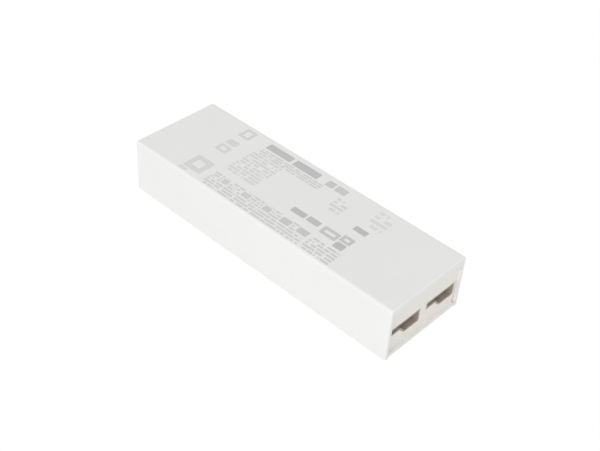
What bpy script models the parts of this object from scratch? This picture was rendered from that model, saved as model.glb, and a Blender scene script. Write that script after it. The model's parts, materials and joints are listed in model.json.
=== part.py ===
"""A small LED driver: a white moulded box, a mains inlet at one end, two keyed output sockets at the other.

Metres, +Z up. The origin is the middle of the underside and +X points to the end with the two sockets.
The mains side of the circuit board lies towards -X and the low-voltage side towards +X.
"""

import math
from typing import NamedTuple

import bmesh
import bpy
from mathutils import Vector

# Housing
HOUSING_LENGTH = 0.130
HOUSING_WIDTH = 0.041
HOUSING_HEIGHT = 0.023
SIDE_WALL = 0.0016
ROOF = 0.0018
FLOOR = 0.0016
END_WALL = 0.0016
END_RECESS = 0.0012
BROW_HEIGHT = 0.0036
EDGE_RADIUS = 0.0012
RIM_RADIUS = 0.0007
INNER_RADIUS = 0.0008
TRAY_SIDE = 0.0012
TRAY_SIDE_HEIGHT = 0.0052
LEDGE_WIDTH = 0.0011
RIB_THICKNESS = 0.0010
RIB_DEPTH = 0.0009
RIB_PITCH = 0.018
RIB_FOOT_CLEARANCE = 0.0006

# Clearances
FIT_GAP = 0.0003
BOARD_END_GAP = 0.0006
PART_SPACING = 0.0015
MERGE = 0.0005
WELD = 1e-7
BOARD_EDGE_MARGIN = 0.0008
CAN_HEADROOM = 0.0044

# Housing screws, from below through the tray and the board into the cover
SCREW_HEAD_DIAMETER = 0.0048
SCREW_HEAD_HEIGHT = 0.0015
SCREW_SUNK = 0.0004
SCREW_SHANK_DIAMETER = 0.0024
SCREW_LENGTH = 0.0095
SCREW_POINT = 0.0012
SCREW_TIP_RADIUS = 0.0003
SCREW_HEAD_EASE = 0.0006
SCREW_RECESS_WIDTH = 0.0007
SCREW_RECESS_SPAN = 0.0028
SCREW_RECESS_DEPTH = 0.0009
BOSS_WALL = 0.0010
POST_WALL = 0.0015
POST_BORE_SPARE = 0.0008

# Circuit board
BOARD_THICKNESS = 0.0016
BOARD_STANDOFF = 0.0023
BOARD_SCREW_HOLE_SPARE = 0.0010
BOARD_CORNER = 0.0010
SLOT_WIDTH = 0.0014
SLOT_LENGTH = 0.013
SHEET_THICKNESS = 0.0004
TAIL_BELOW_BOARD = 0.0012

# Output sockets: the mouth is wide, with a shallow neck on one side and a slanted step down from it,
# so that a plug fits one way round
SOCKET_POST = 0.0036
SOCKET_SIDE_MARGIN = 0.0011
SOCKET_HEIGHT = 0.0058
NECK_WIDTH = 0.0052
NECK_HEIGHT = 0.0030
NECK_SLANT = 0.0028
SOCKET_WALL = 0.0006
SOCKET_FLANGE = 0.0004
SOCKET_SHOULDER = 0.0012
SOCKET_DEPTH = 0.0105
SOCKET_BACK = 0.0022
SOCKET_CORNER = 0.0005
SOCKET_PIN_DIAMETER = 0.0012
SOCKET_PIN_INSET = 0.0026
SOCKET_PIN_RECESS = 0.0050
SOCKET_TAIL_REACH = 0.0012

# Mains inlet: a figure-eight mouth with two round pins
INLET_LOBE_RADIUS = 0.0044
INLET_WAIST = 0.0068
INLET_LOBE_PITCH = 0.0080
INLET_WALL = 0.0010
INLET_FLANGE = 0.0006
INLET_DEPTH = 0.0125
INLET_BACK = 0.0020
INLET_PIN_DIAMETER = 0.0024
INLET_PIN_PITCH = 0.0086
INLET_PIN_RECESS = 0.0032
INLET_TAIL_REACH = 0.0018
PIN_BEND = 0.8

# Mains side components
FUSE_DIAMETER = 0.0076
FUSE_HEIGHT = 0.0080
VARISTOR_DIAMETER = 0.0072
VARISTOR_THICKNESS = 0.0034
SUPPRESSOR_LENGTH = 0.0125
SUPPRESSOR_THICKNESS = 0.0060
SUPPRESSOR_HEIGHT = 0.0105
SUPPRESSOR_LEAD_PITCH = 0.0100
CHOKE_OUTER_DIAMETER = 0.0130
CHOKE_INNER_DIAMETER = 0.0074
CHOKE_HEIGHT = 0.0050
CHOKE_CORNER = 0.0005
CHOKE_BASE_HEIGHT = 0.0012
CHOKE_DIVIDER = 0.0012
CHOKE_WIRE_DIAMETER = 0.0007
CHOKE_TURNS = 7
CHOKE_WINDING_ARC = 126.0
BRIDGE_LENGTH = 0.0084
BRIDGE_WIDTH = 0.0064
BRIDGE_HEIGHT = 0.0033
DRUM_DIAMETER = 0.0060
DRUM_HEIGHT = 0.0080
BULK_DIAMETER = 0.0080
BULK_LENGTH = 0.0125
CHIP_LENGTH = 0.0049
CHIP_WIDTH = 0.0039
CHIP_HEIGHT = 0.0015
CHIP_LEGS_PER_SIDE = 4

# Transformer
CORE_WIDTH = 0.0160
CORE_HALF_LENGTH = 0.0070
CORE_HEIGHT = 0.0048
CORE_LEG = 0.0024
CORE_BACK = 0.0024
BOBBIN_WALL = 0.0007
BOBBIN_FLANGE = 0.0009
BOBBIN_FOOT_WIDTH = 0.0020
BOBBIN_FOOT_LENGTH = 0.0130
WINDING_HEIGHT = 0.0098
WINDING_CORNER = 0.0022
TAPE_THICKNESS = 0.0003
TAPE_WIDTH = 0.0036
DISC_DIAMETER = 0.0070
DISC_THICKNESS = 0.0032
COUPLER_LENGTH = 0.0046
COUPLER_WIDTH = 0.0064
COUPLER_HEIGHT = 0.0034
COUPLER_LEGS_PER_SIDE = 2

# Output side components
DIODE_DIAMETER = 0.0052
DIODE_LENGTH = 0.0090
RESISTOR_DIAMETER = 0.0026
RESISTOR_LENGTH = 0.0068
OUTPUT_CAP_DIAMETER = 0.0063
INDUCTOR_DIAMETER = 0.0080
INDUCTOR_HEIGHT = 0.0090
INDUCTOR_FLANGE = 0.0012
INDUCTOR_WAIST = 0.0040

# Leads and shared forms
LEAD_DIAMETER = 0.0006
LEAD_STANDOFF = 0.0010
LEAD_PITCH = 0.0050
SHORT_LEAD_PITCH = 0.0035
LEG_THICKNESS = 0.0003
LEG_WIDTH = 0.0006
LEG_REACH = 0.0010
CAN_EDGE = 0.0004
CAN_GROOVE = 0.0004
CAN_GROOVE_PLACE = 0.0022
CAN_GROOVE_REACH = 0.0006
CAN_RIM = 0.0006
CAN_DIP = 0.0002
DISC_EASE = 0.0009
AXIAL_EASE = 0.0003
PACKAGE_DRAFT = 0.0003
PACKAGE_STANDOFF = 0.0004

# Facets of the round forms
ARC_STEPS = 4
FEW_STEPS = 2
LOBE_STEPS = 12
RING_SIDES = 28
ROUND_SIDES = 20
BORE_SIDES = 16
PIN_BORE_SIDES = 10
LEAD_SIDES = 6
WIRE_RESOLUTION = 1
SMOOTH_ANGLE = math.radians(35)

# Places that follow from the sizes
HALF_LENGTH = HOUSING_LENGTH / 2
HALF_WIDTH = HOUSING_WIDTH / 2
CAVITY_HALF = HALF_WIDTH - SIDE_WALL
ROOF_UNDERSIDE = HOUSING_HEIGHT - ROOF
WALL_FACE = HALF_LENGTH - END_RECESS
WALL_BACK = WALL_FACE - END_WALL
TRAY_HALF = CAVITY_HALF - FIT_GAP
TRAY_INNER = TRAY_HALF - TRAY_SIDE
BOARD_UNDERSIDE = FLOOR + BOARD_STANDOFF
BOARD_TOP = BOARD_UNDERSIDE + BOARD_THICKNESS
BOARD_HALF = TRAY_INNER - FIT_GAP
BOARD_END = WALL_BACK - BOARD_END_GAP
SEAT = BOARD_TOP + FIT_GAP
TAIL_END = BOARD_UNDERSIDE - TAIL_BELOW_BOARD

SOCKET_WIDTH = CAVITY_HALF - SOCKET_SIDE_MARGIN - SOCKET_POST / 2
SOCKET_CENTRE = (SOCKET_POST + SOCKET_WIDTH) / 2
SOCKET_TOP = SEAT + SOCKET_HEIGHT
SOCKET_REAR = WALL_FACE - SOCKET_DEPTH - SOCKET_BACK
SOCKET_PIN_LEVEL = SEAT + SOCKET_HEIGHT / 2
INLET_OUTER_RADIUS = INLET_LOBE_RADIUS + INLET_WALL
INLET_LEVEL = SEAT + INLET_OUTER_RADIUS
INLET_REAR = -(WALL_FACE - INLET_DEPTH - INLET_BACK)
INLET_HALF = INLET_LOBE_PITCH / 2 + INLET_OUTER_RADIUS

SHANK_BORE = SCREW_SHANK_DIAMETER / 2 + FIT_GAP
HEAD_BORE = SCREW_HEAD_DIAMETER / 2 + FIT_GAP
HEAD_TOP = SCREW_SUNK + SCREW_HEAD_HEIGHT
BOSS_RADIUS = HEAD_BORE + BOSS_WALL
POST_RADIUS = SHANK_BORE + POST_WALL
SCREW_SIDE = TRAY_INNER - POST_RADIUS - FIT_GAP
FAR_SCREW = INLET_REAR + PART_SPACING / 2 + POST_RADIUS
SOCKET_TAIL = SOCKET_REAR - SOCKET_TAIL_REACH
NEAR_SCREW = SOCKET_TAIL - SOCKET_PIN_DIAMETER / 2 - PART_SPACING / 2 - POST_RADIUS

FRONT_EDGE = BOARD_EDGE_MARGIN - BOARD_HALF
BACK_EDGE = BOARD_HALF - BOARD_EDGE_MARGIN
CHOKE_COIL_RADIUS = CHOKE_OUTER_DIAMETER / 2 + FIT_GAP + CHOKE_WIRE_DIAMETER
COUPLER_FRONT = FRONT_EDGE + COUPLER_LENGTH
DISC_BACK = BACK_EDGE - DISC_THICKNESS
TRANSFORMER_ACROSS = (COUPLER_FRONT + DISC_BACK) / 2
WINDING_WIDTH = CORE_WIDTH - 2 * CORE_LEG - 2 * FIT_GAP
CORE_LEVEL = SEAT + LEAD_STANDOFF + WINDING_HEIGHT / 2
OUTPUT_CAP_HEIGHT = ROOF_UNDERSIDE - CAN_HEADROOM - SEAT

# Length of each row of components along the board, and the even gap between rows
ROW_LENGTHS = {
    "entry": max(FUSE_DIAMETER, VARISTOR_DIAMETER, SUPPRESSOR_THICKNESS),
    "filter": max(2 * CHOKE_COIL_RADIUS, BRIDGE_LENGTH),
    "storage": max(BULK_LENGTH + LEG_REACH + LEAD_DIAMETER / 2, CHIP_LENGTH + PART_SPACING + DRUM_DIAMETER),
    "transformer": 2 * (CORE_HALF_LENGTH + FIT_GAP + TAPE_THICKNESS),
    "rectifier": max(INDUCTOR_DIAMETER, RESISTOR_LENGTH + 2 * LEG_REACH + LEAD_DIAMETER),
}
ROWS_START = FAR_SCREW + POST_RADIUS
ROWS_END = NEAR_SCREW - max(POST_RADIUS, OUTPUT_CAP_DIAMETER / 2)
ROW_GAP = (ROWS_END - ROWS_START - sum(ROW_LENGTHS.values())) / (len(ROW_LENGTHS) + 1)


class Finish(NamedTuple):
    """Colour, roughness and metallic value of a surface."""

    colour: tuple
    roughness: float
    metallic: float = 0.0


WHITE_PLASTIC = Finish((0.80, 0.80, 0.79), 0.45)
DARK_PLASTIC = Finish((0.060, 0.055, 0.050), 0.50)
BLACK_PLASTIC = Finish((0.025, 0.025, 0.027), 0.45)
TINNED_METAL = Finish((0.72, 0.71, 0.68), 0.28, 1.0)
ZINC_STEEL = Finish((0.58, 0.58, 0.57), 0.35, 1.0)
BOARD_GREEN = Finish((0.035, 0.170, 0.070), 0.50)
PAPER_GREY = Finish((0.42, 0.43, 0.42), 0.70)
FUSE_BROWN = Finish((0.10, 0.045, 0.025), 0.45)
VARISTOR_BLUE = Finish((0.030, 0.110, 0.360), 0.40)
FILM_YELLOW = Finish((0.620, 0.480, 0.060), 0.45)
FERRITE = Finish((0.045, 0.045, 0.048), 0.60)
COPPER_WIRE = Finish((0.560, 0.230, 0.080), 0.30, 1.0)
CAN_SLEEVE = Finish((0.030, 0.035, 0.060), 0.35)
TAPE_YELLOW = Finish((0.700, 0.560, 0.080), 0.40)
NYLON = Finish((0.640, 0.630, 0.580), 0.50)
DISC_BLUE = Finish((0.040, 0.140, 0.340), 0.45)
RESISTOR_BODY = Finish((0.360, 0.420, 0.440), 0.50)


def clear_scene():
    """Removes the objects that the startup file brings."""
    for obj in list(bpy.data.objects):
        bpy.data.objects.remove(obj, do_unlink=True)


def object_from(name, mesh, finish=None):
    """Links a mesh as an object; a piece has a finish, and a helper for a Boolean has none."""
    obj = bpy.data.objects.new(name, mesh)
    bpy.context.scene.collection.objects.link(obj)
    if finish is None:
        obj.hide_render = True
        obj.display_type = "WIRE"
        return obj
    material = bpy.data.materials.new(name + " finish")
    material.use_nodes = True
    shader = material.node_tree.nodes["Principled BSDF"]
    shader.inputs["Base Color"].default_value = (*finish.colour, 1.0)
    shader.inputs["Roughness"].default_value = finish.roughness
    shader.inputs["Metallic"].default_value = finish.metallic
    mesh.materials.append(material)
    return obj


def mesh_from(name, shape, smooth=True):
    """Turns a bmesh into a mesh with its faces outwards, smooth but for its sharp edges."""
    bmesh.ops.remove_doubles(shape, verts=shape.verts, dist=WELD)
    bmesh.ops.recalc_face_normals(shape, faces=shape.faces)
    mesh = bpy.data.meshes.new(name)
    shape.to_mesh(mesh)
    shape.free()
    if smooth:
        mesh.shade_smooth()
        mesh.set_sharp_from_angle(angle=SMOOTH_ANGLE)
    return mesh


def on_axis(axis, across, up, along):
    """A point of an outline drawn across an axis: X takes (y, z), Y takes (x, z) and Z takes (x, y)."""
    if axis == "X":
        return Vector((along, across, up))
    if axis == "Y":
        return Vector((across, along, up))
    return Vector((across, up, along))


def add_prism(shape, outline, axis, low, high):
    """Adds a closed outline, extruded along an axis, to a bmesh."""
    base = [shape.verts.new(on_axis(axis, across, up, low)) for across, up in outline]
    face = shape.faces.new(base)
    grown = bmesh.ops.extrude_face_region(shape, geom=[face])["geom"]
    moved = [item for item in grown if isinstance(item, bmesh.types.BMVert)]
    shift = on_axis(axis, 0.0, 0.0, high - low)
    bmesh.ops.translate(shape, verts=moved, vec=shift)


def prism(name, outline, axis, low, high, finish=None):
    """An object made of one outline extruded along an axis."""
    shape = bmesh.new()
    add_prism(shape, outline, axis, low, high)
    return object_from(name, mesh_from(name, shape), finish)


def prisms(name, parts, finish=None):
    """An object made of several outlines, each with its axis, start and end."""
    shape = bmesh.new()
    for outline, axis, low, high in parts:
        add_prism(shape, outline, axis, low, high)
    return object_from(name, mesh_from(name, shape), finish)


def lofted(sections):
    """A bmesh skinned over closed outlines in (y, z) at places along X, with both ends capped."""
    shape = bmesh.new()
    rings = [[shape.verts.new((along, *point)) for point in outline] for along, outline in sections]
    for ring, following in zip(rings, rings[1:]):
        for i, vert in enumerate(ring):
            j = (i + 1) % len(ring)
            shape.faces.new((vert, ring[j], following[j], following[i]))
    shape.faces.new(rings[0])
    shape.faces.new(reversed(rings[-1]))
    return shape


def rectangle(low, high):
    """The corners of a rectangle between two points of its plane."""
    return [(low[0], low[1]), (high[0], low[1]), (high[0], high[1]), (low[0], high[1])]


def arc(centre, radius, start, end, steps=ARC_STEPS):
    """Points along an arc, from one angle in degrees to another."""
    angles = [math.radians(start + (end - start) * i / steps) for i in range(steps + 1)]
    return [(centre[0] + radius * math.cos(a), centre[1] + radius * math.sin(a)) for a in angles]


def rounded_rectangle(low, high, radius, steps=ARC_STEPS):
    """A rectangle with quarter-round corners, anticlockwise."""
    left, right = low[0] + radius, high[0] - radius
    bottom, top = low[1] + radius, high[1] - radius
    return (
        arc((right, bottom), radius, -90, 0, steps)
        + arc((right, top), radius, 0, 90, steps)
        + arc((left, top), radius, 90, 180, steps)
        + arc((left, bottom), radius, 180, 270, steps)
    )


def circle(centre, radius, sides=ROUND_SIDES):
    """The corners of a round outline."""
    return arc(centre, radius, 0, 360 - 360 / sides, sides - 1)


def turned(name, profile, finish=None, closed=False, sides=ROUND_SIDES):
    """A round form about Z from (radius, height) points: a ring if closed, else capped at its ends."""
    shape = bmesh.new()
    verts = [shape.verts.new((radius, 0.0, height)) for radius, height in profile]
    edges = [shape.edges.new(pair) for pair in zip(verts, verts[1:])]
    if closed:
        edges.append(shape.edges.new((verts[-1], verts[0])))
    bmesh.ops.spin(
        shape, geom=verts + edges, cent=(0, 0, 0), axis=(0, 0, 1), angle=math.tau, steps=sides, use_merge=True
    )
    bmesh.ops.holes_fill(shape, edges=[edge for edge in shape.edges if edge.is_boundary])
    return object_from(name, mesh_from(name, shape), finish)


def wire(name, points, diameter, finish=None):
    """A round wire along a path of points, as a mesh."""
    curve = bpy.data.curves.new(name, "CURVE")
    curve.dimensions = "3D"
    curve.bevel_depth = diameter / 2
    curve.bevel_resolution = WIRE_RESOLUTION
    curve.use_fill_caps = True
    spline = curve.splines.new("POLY")
    spline.points.add(len(points) - 1)
    for point, place in zip(spline.points, points):
        point.co = (*place, 1.0)
    guide = bpy.data.objects.new(name + " path", curve)
    bpy.context.scene.collection.objects.link(guide)
    graph = bpy.context.evaluated_depsgraph_get()
    shape = bmesh.new()
    shape.from_mesh(bpy.data.meshes.new_from_object(guide.evaluated_get(graph)))
    bpy.data.objects.remove(guide, do_unlink=True)
    return object_from(name, mesh_from(name, shape), finish)


def combine(target, helper, operation):
    """Joins a helper to a piece or cuts it away."""
    modifier = target.modifiers.new(helper.name, "BOOLEAN")
    modifier.object = helper
    modifier.operation = operation
    modifier.solver = "EXACT"


def join(target, *helpers):
    """Joins helpers to a piece."""
    for helper in helpers:
        combine(target, helper, "UNION")


def cut(target, *helpers):
    """Cuts helpers out of a piece."""
    for helper in helpers:
        combine(target, helper, "DIFFERENCE")


def socket_outline(centre, grow=0.0):
    """The stepped mouth of an output socket in (y, z), grown outwards on every side by the same distance."""
    left, right = centre - SOCKET_WIDTH / 2 - grow, centre + SOCKET_WIDTH / 2 + grow
    drop = SOCKET_HEIGHT - NECK_HEIGHT
    step_shift = grow * (math.hypot(NECK_SLANT, drop) - NECK_SLANT) / drop
    step = centre - SOCKET_WIDTH / 2 + NECK_WIDTH - step_shift
    low, top = SEAT - grow, SOCKET_TOP + grow
    neck = SOCKET_TOP - NECK_HEIGHT - grow
    corner = SOCKET_CORNER
    return [
        (step + NECK_SLANT, low),
        (right - corner, low),
        (right, low + corner),
        (right, top),
        (left, top),
        (left, neck + corner),
        (left + corner, neck),
        (step, neck),
    ]


def inlet_outline(grow=0.0):
    """The figure-eight mouth of the mains inlet in (y, z), grown outwards on every side."""
    radius, waist = INLET_LOBE_RADIUS + grow, INLET_WAIST / 2 + grow
    inner = 180 - math.degrees(math.asin(waist / radius))
    right, left = (INLET_LOBE_PITCH / 2, INLET_LEVEL), (-INLET_LOBE_PITCH / 2, INLET_LEVEL)
    lobe = arc(right, radius, -inner, inner, LOBE_STEPS)
    return lobe + arc(left, radius, 180 - inner, 180 + inner, LOBE_STEPS)


def socket_centres():
    """The two sockets' middles across the housing."""
    return {"front": -SOCKET_CENTRE, "back": SOCKET_CENTRE}


def socket_pin_places(centre):
    """Where a socket's two pins stand across the housing, each as far in from its end of the wide part."""
    step, right = centre - SOCKET_WIDTH / 2 + NECK_WIDTH, centre + SOCKET_WIDTH / 2
    return step + SOCKET_PIN_INSET, right - SOCKET_PIN_INSET


def screw_places():
    """The four housing screws in the plane of the board."""
    return {
        "far_front": (FAR_SCREW, -SCREW_SIDE),
        "far_back": (FAR_SCREW, SCREW_SIDE),
        "near_front": (NEAR_SCREW, -SCREW_SIDE),
        "near_back": (NEAR_SCREW, SCREW_SIDE),
    }


def row_start(name):
    """Where a row of components begins along the board."""
    names = list(ROW_LENGTHS)
    before = names[: names.index(name)]
    return ROWS_START + ROW_GAP + sum(ROW_LENGTHS[other] + ROW_GAP for other in before)


def row_middle(name):
    """The middle of a row of components along the board."""
    return row_start(name) + ROW_LENGTHS[name] / 2


def end_openings(grow):
    """Cutters as wide as the sockets and the inlet, grown by a clearance, through both end walls."""
    parts = [
        (socket_outline(centre, grow), "X", WALL_BACK - MERGE, HALF_LENGTH + MERGE)
        for centre in socket_centres().values()
    ]
    parts.append((inlet_outline(INLET_WALL + grow), "X", -HALF_LENGTH - MERGE, -WALL_BACK + MERGE))
    return prisms("end_opening_cutter", parts)


def channel_section(inset):
    """The cover's channel in (y, z): its outside drawn in by an inset, its inside always the same."""
    radius = EDGE_RADIUS - inset
    side, top = HALF_WIDTH - EDGE_RADIUS, HOUSING_HEIGHT - EDGE_RADIUS
    outer = [(side + radius, 0.0)] + arc((side, top), radius, 0, 90) + arc((-side, top), radius, 90, 180)
    outer.append((-side - radius, 0.0))
    side, top = CAVITY_HALF - INNER_RADIUS, ROOF_UNDERSIDE - INNER_RADIUS
    inner = [(-CAVITY_HALF, 0.0)] + arc((-side, top), INNER_RADIUS, 180, 90)
    inner += arc((side, top), INNER_RADIUS, 90, 0) + [(CAVITY_HALF, 0.0)]
    return outer + inner


def cover_shell():
    """The cover's roof and long sides: one channel, its outer edges rounded along it and round both rims."""
    sections = []
    for i in range(ARC_STEPS + 1):
        angle = math.pi / 2 * i / ARC_STEPS
        along = HALF_LENGTH - RIM_RADIUS * (1 - math.cos(angle))
        sections.append((along, channel_section(RIM_RADIUS * (1 - math.sin(angle)))))
    sections += [(-along, section) for along, section in reversed(sections)]
    return object_from("top_cover", mesh_from("top_cover", lofted(sections)), WHITE_PLASTIC)


def make_cover():
    """The cover, with the upper halves of its end walls, its ribs and its four screw posts."""
    cover = cover_shell()
    side, roof = CAVITY_HALF + MERGE, ROOF_UNDERSIDE + MERGE
    near_wall = (rectangle((-side, SOCKET_TOP + FIT_GAP), (side, roof)), "X", WALL_BACK, WALL_FACE)
    far_wall = (rectangle((-side, INLET_LEVEL + FIT_GAP), (side, roof)), "X", -WALL_FACE, -WALL_BACK)
    posts = [
        (circle(place, POST_RADIUS, BORE_SIDES), "Z", SEAT, roof)
        for place in screw_places().values()
    ]
    bore_top = HEAD_TOP + SCREW_LENGTH + POST_BORE_SPARE
    bores = [
        (circle(place, SHANK_BORE, BORE_SIDES), "Z", SEAT - MERGE, bore_top)
        for place in screw_places().values()
    ]
    end_walls = prisms("cover_end_walls", [near_wall, far_wall])
    join(cover, end_walls, cover_brows(), prisms("cover_posts", posts), cover_ribs())
    cut(cover, end_openings(FIT_GAP), prisms("cover_bores", bores))


def cover_brows():
    """The thick upper edge of each rim, which overhangs the recessed end wall."""
    side = CAVITY_HALF + MERGE
    outline = rectangle((-side, HOUSING_HEIGHT - BROW_HEIGHT), (side, ROOF_UNDERSIDE + MERGE))
    return prisms("cover_brows", [(outline, "X", WALL_BACK, HALF_LENGTH), (outline, "X", -HALF_LENGTH, -WALL_BACK)])


def cover_ribs():
    """Upright ribs at an even pitch inside both long sides, above the tray's sides."""
    reach = SOCKET_REAR - PART_SPACING
    count = int(2 * reach / RIB_PITCH)
    foot = TRAY_SIDE_HEIGHT + RIB_FOOT_CLEARANCE
    parts = []
    for i in range(count + 1):
        middle = (i - count / 2) * RIB_PITCH
        for side in (-1, 1):
            inner, outer = sorted((side * (CAVITY_HALF - RIB_DEPTH), side * (CAVITY_HALF + MERGE)))
            outline = rectangle((inner, foot), (outer, ROOF_UNDERSIDE + MERGE))
            parts.append((outline, "X", middle - RIB_THICKNESS / 2, middle + RIB_THICKNESS / 2))
    return prisms("cover_ribs", parts)


def make_tray():
    """The tray: a floor with low sides and board ledges, the lower halves of the end walls and four bosses."""
    ledge = TRAY_INNER - LEDGE_WIDTH
    shelf = BOARD_UNDERSIDE - FIT_GAP
    right = [(TRAY_HALF, 0.0), (TRAY_HALF, TRAY_SIDE_HEIGHT), (TRAY_INNER, TRAY_SIDE_HEIGHT)]
    right += [(TRAY_INNER, shelf), (ledge, shelf), (ledge, FLOOR)]
    outline = right + [(-across, up) for across, up in reversed(right)]
    tray = prism("base_tray", outline, "X", -WALL_BACK - MERGE, WALL_BACK + MERGE, WHITE_PLASTIC)
    near_wall = (rectangle((-TRAY_HALF, 0.0), (TRAY_HALF, SOCKET_TOP)), "X", WALL_BACK, WALL_FACE)
    far_wall = (rectangle((-TRAY_HALF, 0.0), (TRAY_HALF, INLET_LEVEL)), "X", -WALL_FACE, -WALL_BACK)
    bosses = [
        (circle(place, BOSS_RADIUS), "Z", FLOOR - MERGE, shelf)
        for place in screw_places().values()
    ]
    bores = [
        (circle(place, SHANK_BORE, BORE_SIDES), "Z", HEAD_TOP, shelf + MERGE)
        for place in screw_places().values()
    ]
    sinks = [
        (circle(place, HEAD_BORE), "Z", -MERGE, HEAD_TOP + FIT_GAP)
        for place in screw_places().values()
    ]
    join(tray, prisms("tray_end_walls", [near_wall, far_wall]), tray_lips(), prisms("tray_bosses", bosses))
    cut(tray, prisms("tray_bores", bores), prisms("tray_sinks", sinks), bpy.data.objects["end_opening_cutter"])


def tray_lips():
    """The floor's two lips, which close the rim below each end wall, with their front edge eased."""
    steps = arc((HALF_LENGTH - RIM_RADIUS, RIM_RADIUS), RIM_RADIUS, -90, 0)
    outline = [(WALL_BACK, FLOOR), (WALL_BACK, 0.0)] + steps + [(HALF_LENGTH, FLOOR)]
    mirrored = [(-along, up) for along, up in reversed(outline)]
    return prisms("tray_lips", [(outline, "Y", -TRAY_HALF, TRAY_HALF), (mirrored, "Y", -TRAY_HALF, TRAY_HALF)])


def make_screws():
    """Four pan-head screws, heads sunk in the tray's underside, each with a cross recess."""
    half = SCREW_RECESS_SPAN / 2
    width = SCREW_RECESS_WIDTH / 2
    head, shank = SCREW_HEAD_DIAMETER / 2, SCREW_SHANK_DIAMETER / 2
    tip = SCREW_HEAD_HEIGHT + SCREW_LENGTH
    profile = [(head - SCREW_HEAD_EASE, 0.0), (head, SCREW_HEAD_EASE), (head, SCREW_HEAD_HEIGHT)]
    profile += [(shank, SCREW_HEAD_HEIGHT), (shank, tip - SCREW_POINT), (SCREW_TIP_RADIUS, tip)]
    for name, (along, across) in screw_places().items():
        screw = turned("housing_screw_" + name, profile, ZINC_STEEL, sides=BORE_SIDES)
        bars = [rectangle((-half, -width), (half, width)), rectangle((-width, -half), (width, half))]
        for i, bar in enumerate(bars):
            slot = prism(f"{screw.name}_slot_{i}", bar, "Z", -MERGE, SCREW_RECESS_DEPTH)
            slot.parent = screw
            cut(screw, slot)
        screw.location = (along, across, SCREW_SUNK)


def make_board():
    """The circuit board, with screw holes, holes for the pins' tails and a slot at the isolation barrier."""
    outline = rounded_rectangle((-BOARD_END, -BOARD_HALF), (BOARD_END, BOARD_HALF), BOARD_CORNER, FEW_STEPS)
    board = prism("circuit_board", outline, "Z", BOARD_UNDERSIDE, BOARD_TOP, BOARD_GREEN)
    low, high = BOARD_UNDERSIDE - MERGE, BOARD_TOP + MERGE
    screw_hole = (SCREW_SHANK_DIAMETER + BOARD_SCREW_HOLE_SPARE) / 2
    holes = [(circle(place, screw_hole, BORE_SIDES), "Z", low, high) for place in screw_places().values()]
    for place, diameter in pin_tails():
        holes.append((circle(place, diameter / 2 + FIT_GAP, PIN_BORE_SIDES), "Z", low, high))
    middle, radius = row_middle("transformer"), SLOT_WIDTH / 2
    reach = SLOT_LENGTH / 2 - radius
    slot = arc((middle, TRANSFORMER_ACROSS + reach), radius, 0, 180)
    slot += arc((middle, TRANSFORMER_ACROSS - reach), radius, 180, 360)
    holes.append((slot, "Z", low, high))
    cut(board, prisms("board_holes", holes))


def pin_tails():
    """Where each connector pin goes down through the board, with its diameter."""
    tails = []
    for centre in socket_centres().values():
        for across in socket_pin_places(centre):
            tails.append(((SOCKET_TAIL, across), SOCKET_PIN_DIAMETER))
    for side in (-1, 1):
        tails.append(((INLET_REAR + INLET_TAIL_REACH, side * INLET_PIN_PITCH / 2), INLET_PIN_DIAMETER))
    return tails


def make_insulation_sheet():
    """The sheet between the tray's floor and the solder side, cut out round the bosses."""
    side = TRAY_INNER - LEDGE_WIDTH - FIT_GAP
    bottom = FLOOR + FIT_GAP
    outline = rectangle((-BOARD_END, -side), (BOARD_END, side))
    sheet = prism("insulation_sheet", outline, "Z", bottom, bottom + SHEET_THICKNESS, PAPER_GREY)
    holes = [
        (circle(place, BOSS_RADIUS + FIT_GAP), "Z", bottom - MERGE, bottom + SHEET_THICKNESS + MERGE)
        for place in screw_places().values()
    ]
    cut(sheet, prisms("sheet_holes", holes))


def make_output_sockets():
    """Two keyed sockets: a body behind the end wall, its nose flush with the wall, and two pins each."""
    for name, centre in socket_centres().items():
        body = prism(
            f"output_socket_{name}",
            socket_outline(centre),
            "X",
            SOCKET_REAR + SOCKET_SHOULDER,
            WALL_FACE,
            DARK_PLASTIC,
        )
        half = SOCKET_WIDTH / 2 + SOCKET_FLANGE
        block = rectangle((centre - half, SEAT), (centre + half, SOCKET_TOP + SOCKET_SHOULDER))
        shell = prism(f"socket_block_{name}", block, "X", SOCKET_REAR, WALL_BACK - FIT_GAP)
        cavity = prism(
            f"socket_cavity_{name}",
            socket_outline(centre, -SOCKET_WALL),
            "X",
            SOCKET_REAR + SOCKET_BACK,
            WALL_FACE + MERGE,
        )
        places = socket_pin_places(centre)
        bore = SOCKET_PIN_DIAMETER / 2 + FIT_GAP
        bores = [
            (circle((place, SOCKET_PIN_LEVEL), bore, PIN_BORE_SIDES), "X", SOCKET_REAR - MERGE, WALL_BACK)
            for place in places
        ]
        join(body, shell)
        cut(body, cavity, prisms(f"socket_bores_{name}", bores))
        for pole, place in zip(("plus", "minus"), places):
            make_pin(
                f"output_pin_{name}_{pole}",
                WALL_FACE - SOCKET_PIN_RECESS,
                SOCKET_TAIL,
                place,
                SOCKET_PIN_LEVEL,
                SOCKET_PIN_DIAMETER,
            )


def make_pin(name, tip, tail, across, level, diameter):
    """A round pin from its tip back through the body, then bent down through the board."""
    bend = diameter * PIN_BEND
    turn = math.copysign(bend, tip - tail)
    points = [(tip, across, level)]
    for i in range(ARC_STEPS + 1):
        angle = math.pi / 2 * i / ARC_STEPS
        points.append((tail + turn * (1 - math.sin(angle)), across, level - bend * (1 - math.cos(angle))))
    points.append((tail, across, TAIL_END))
    wire(name, points, diameter, TINNED_METAL)


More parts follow.
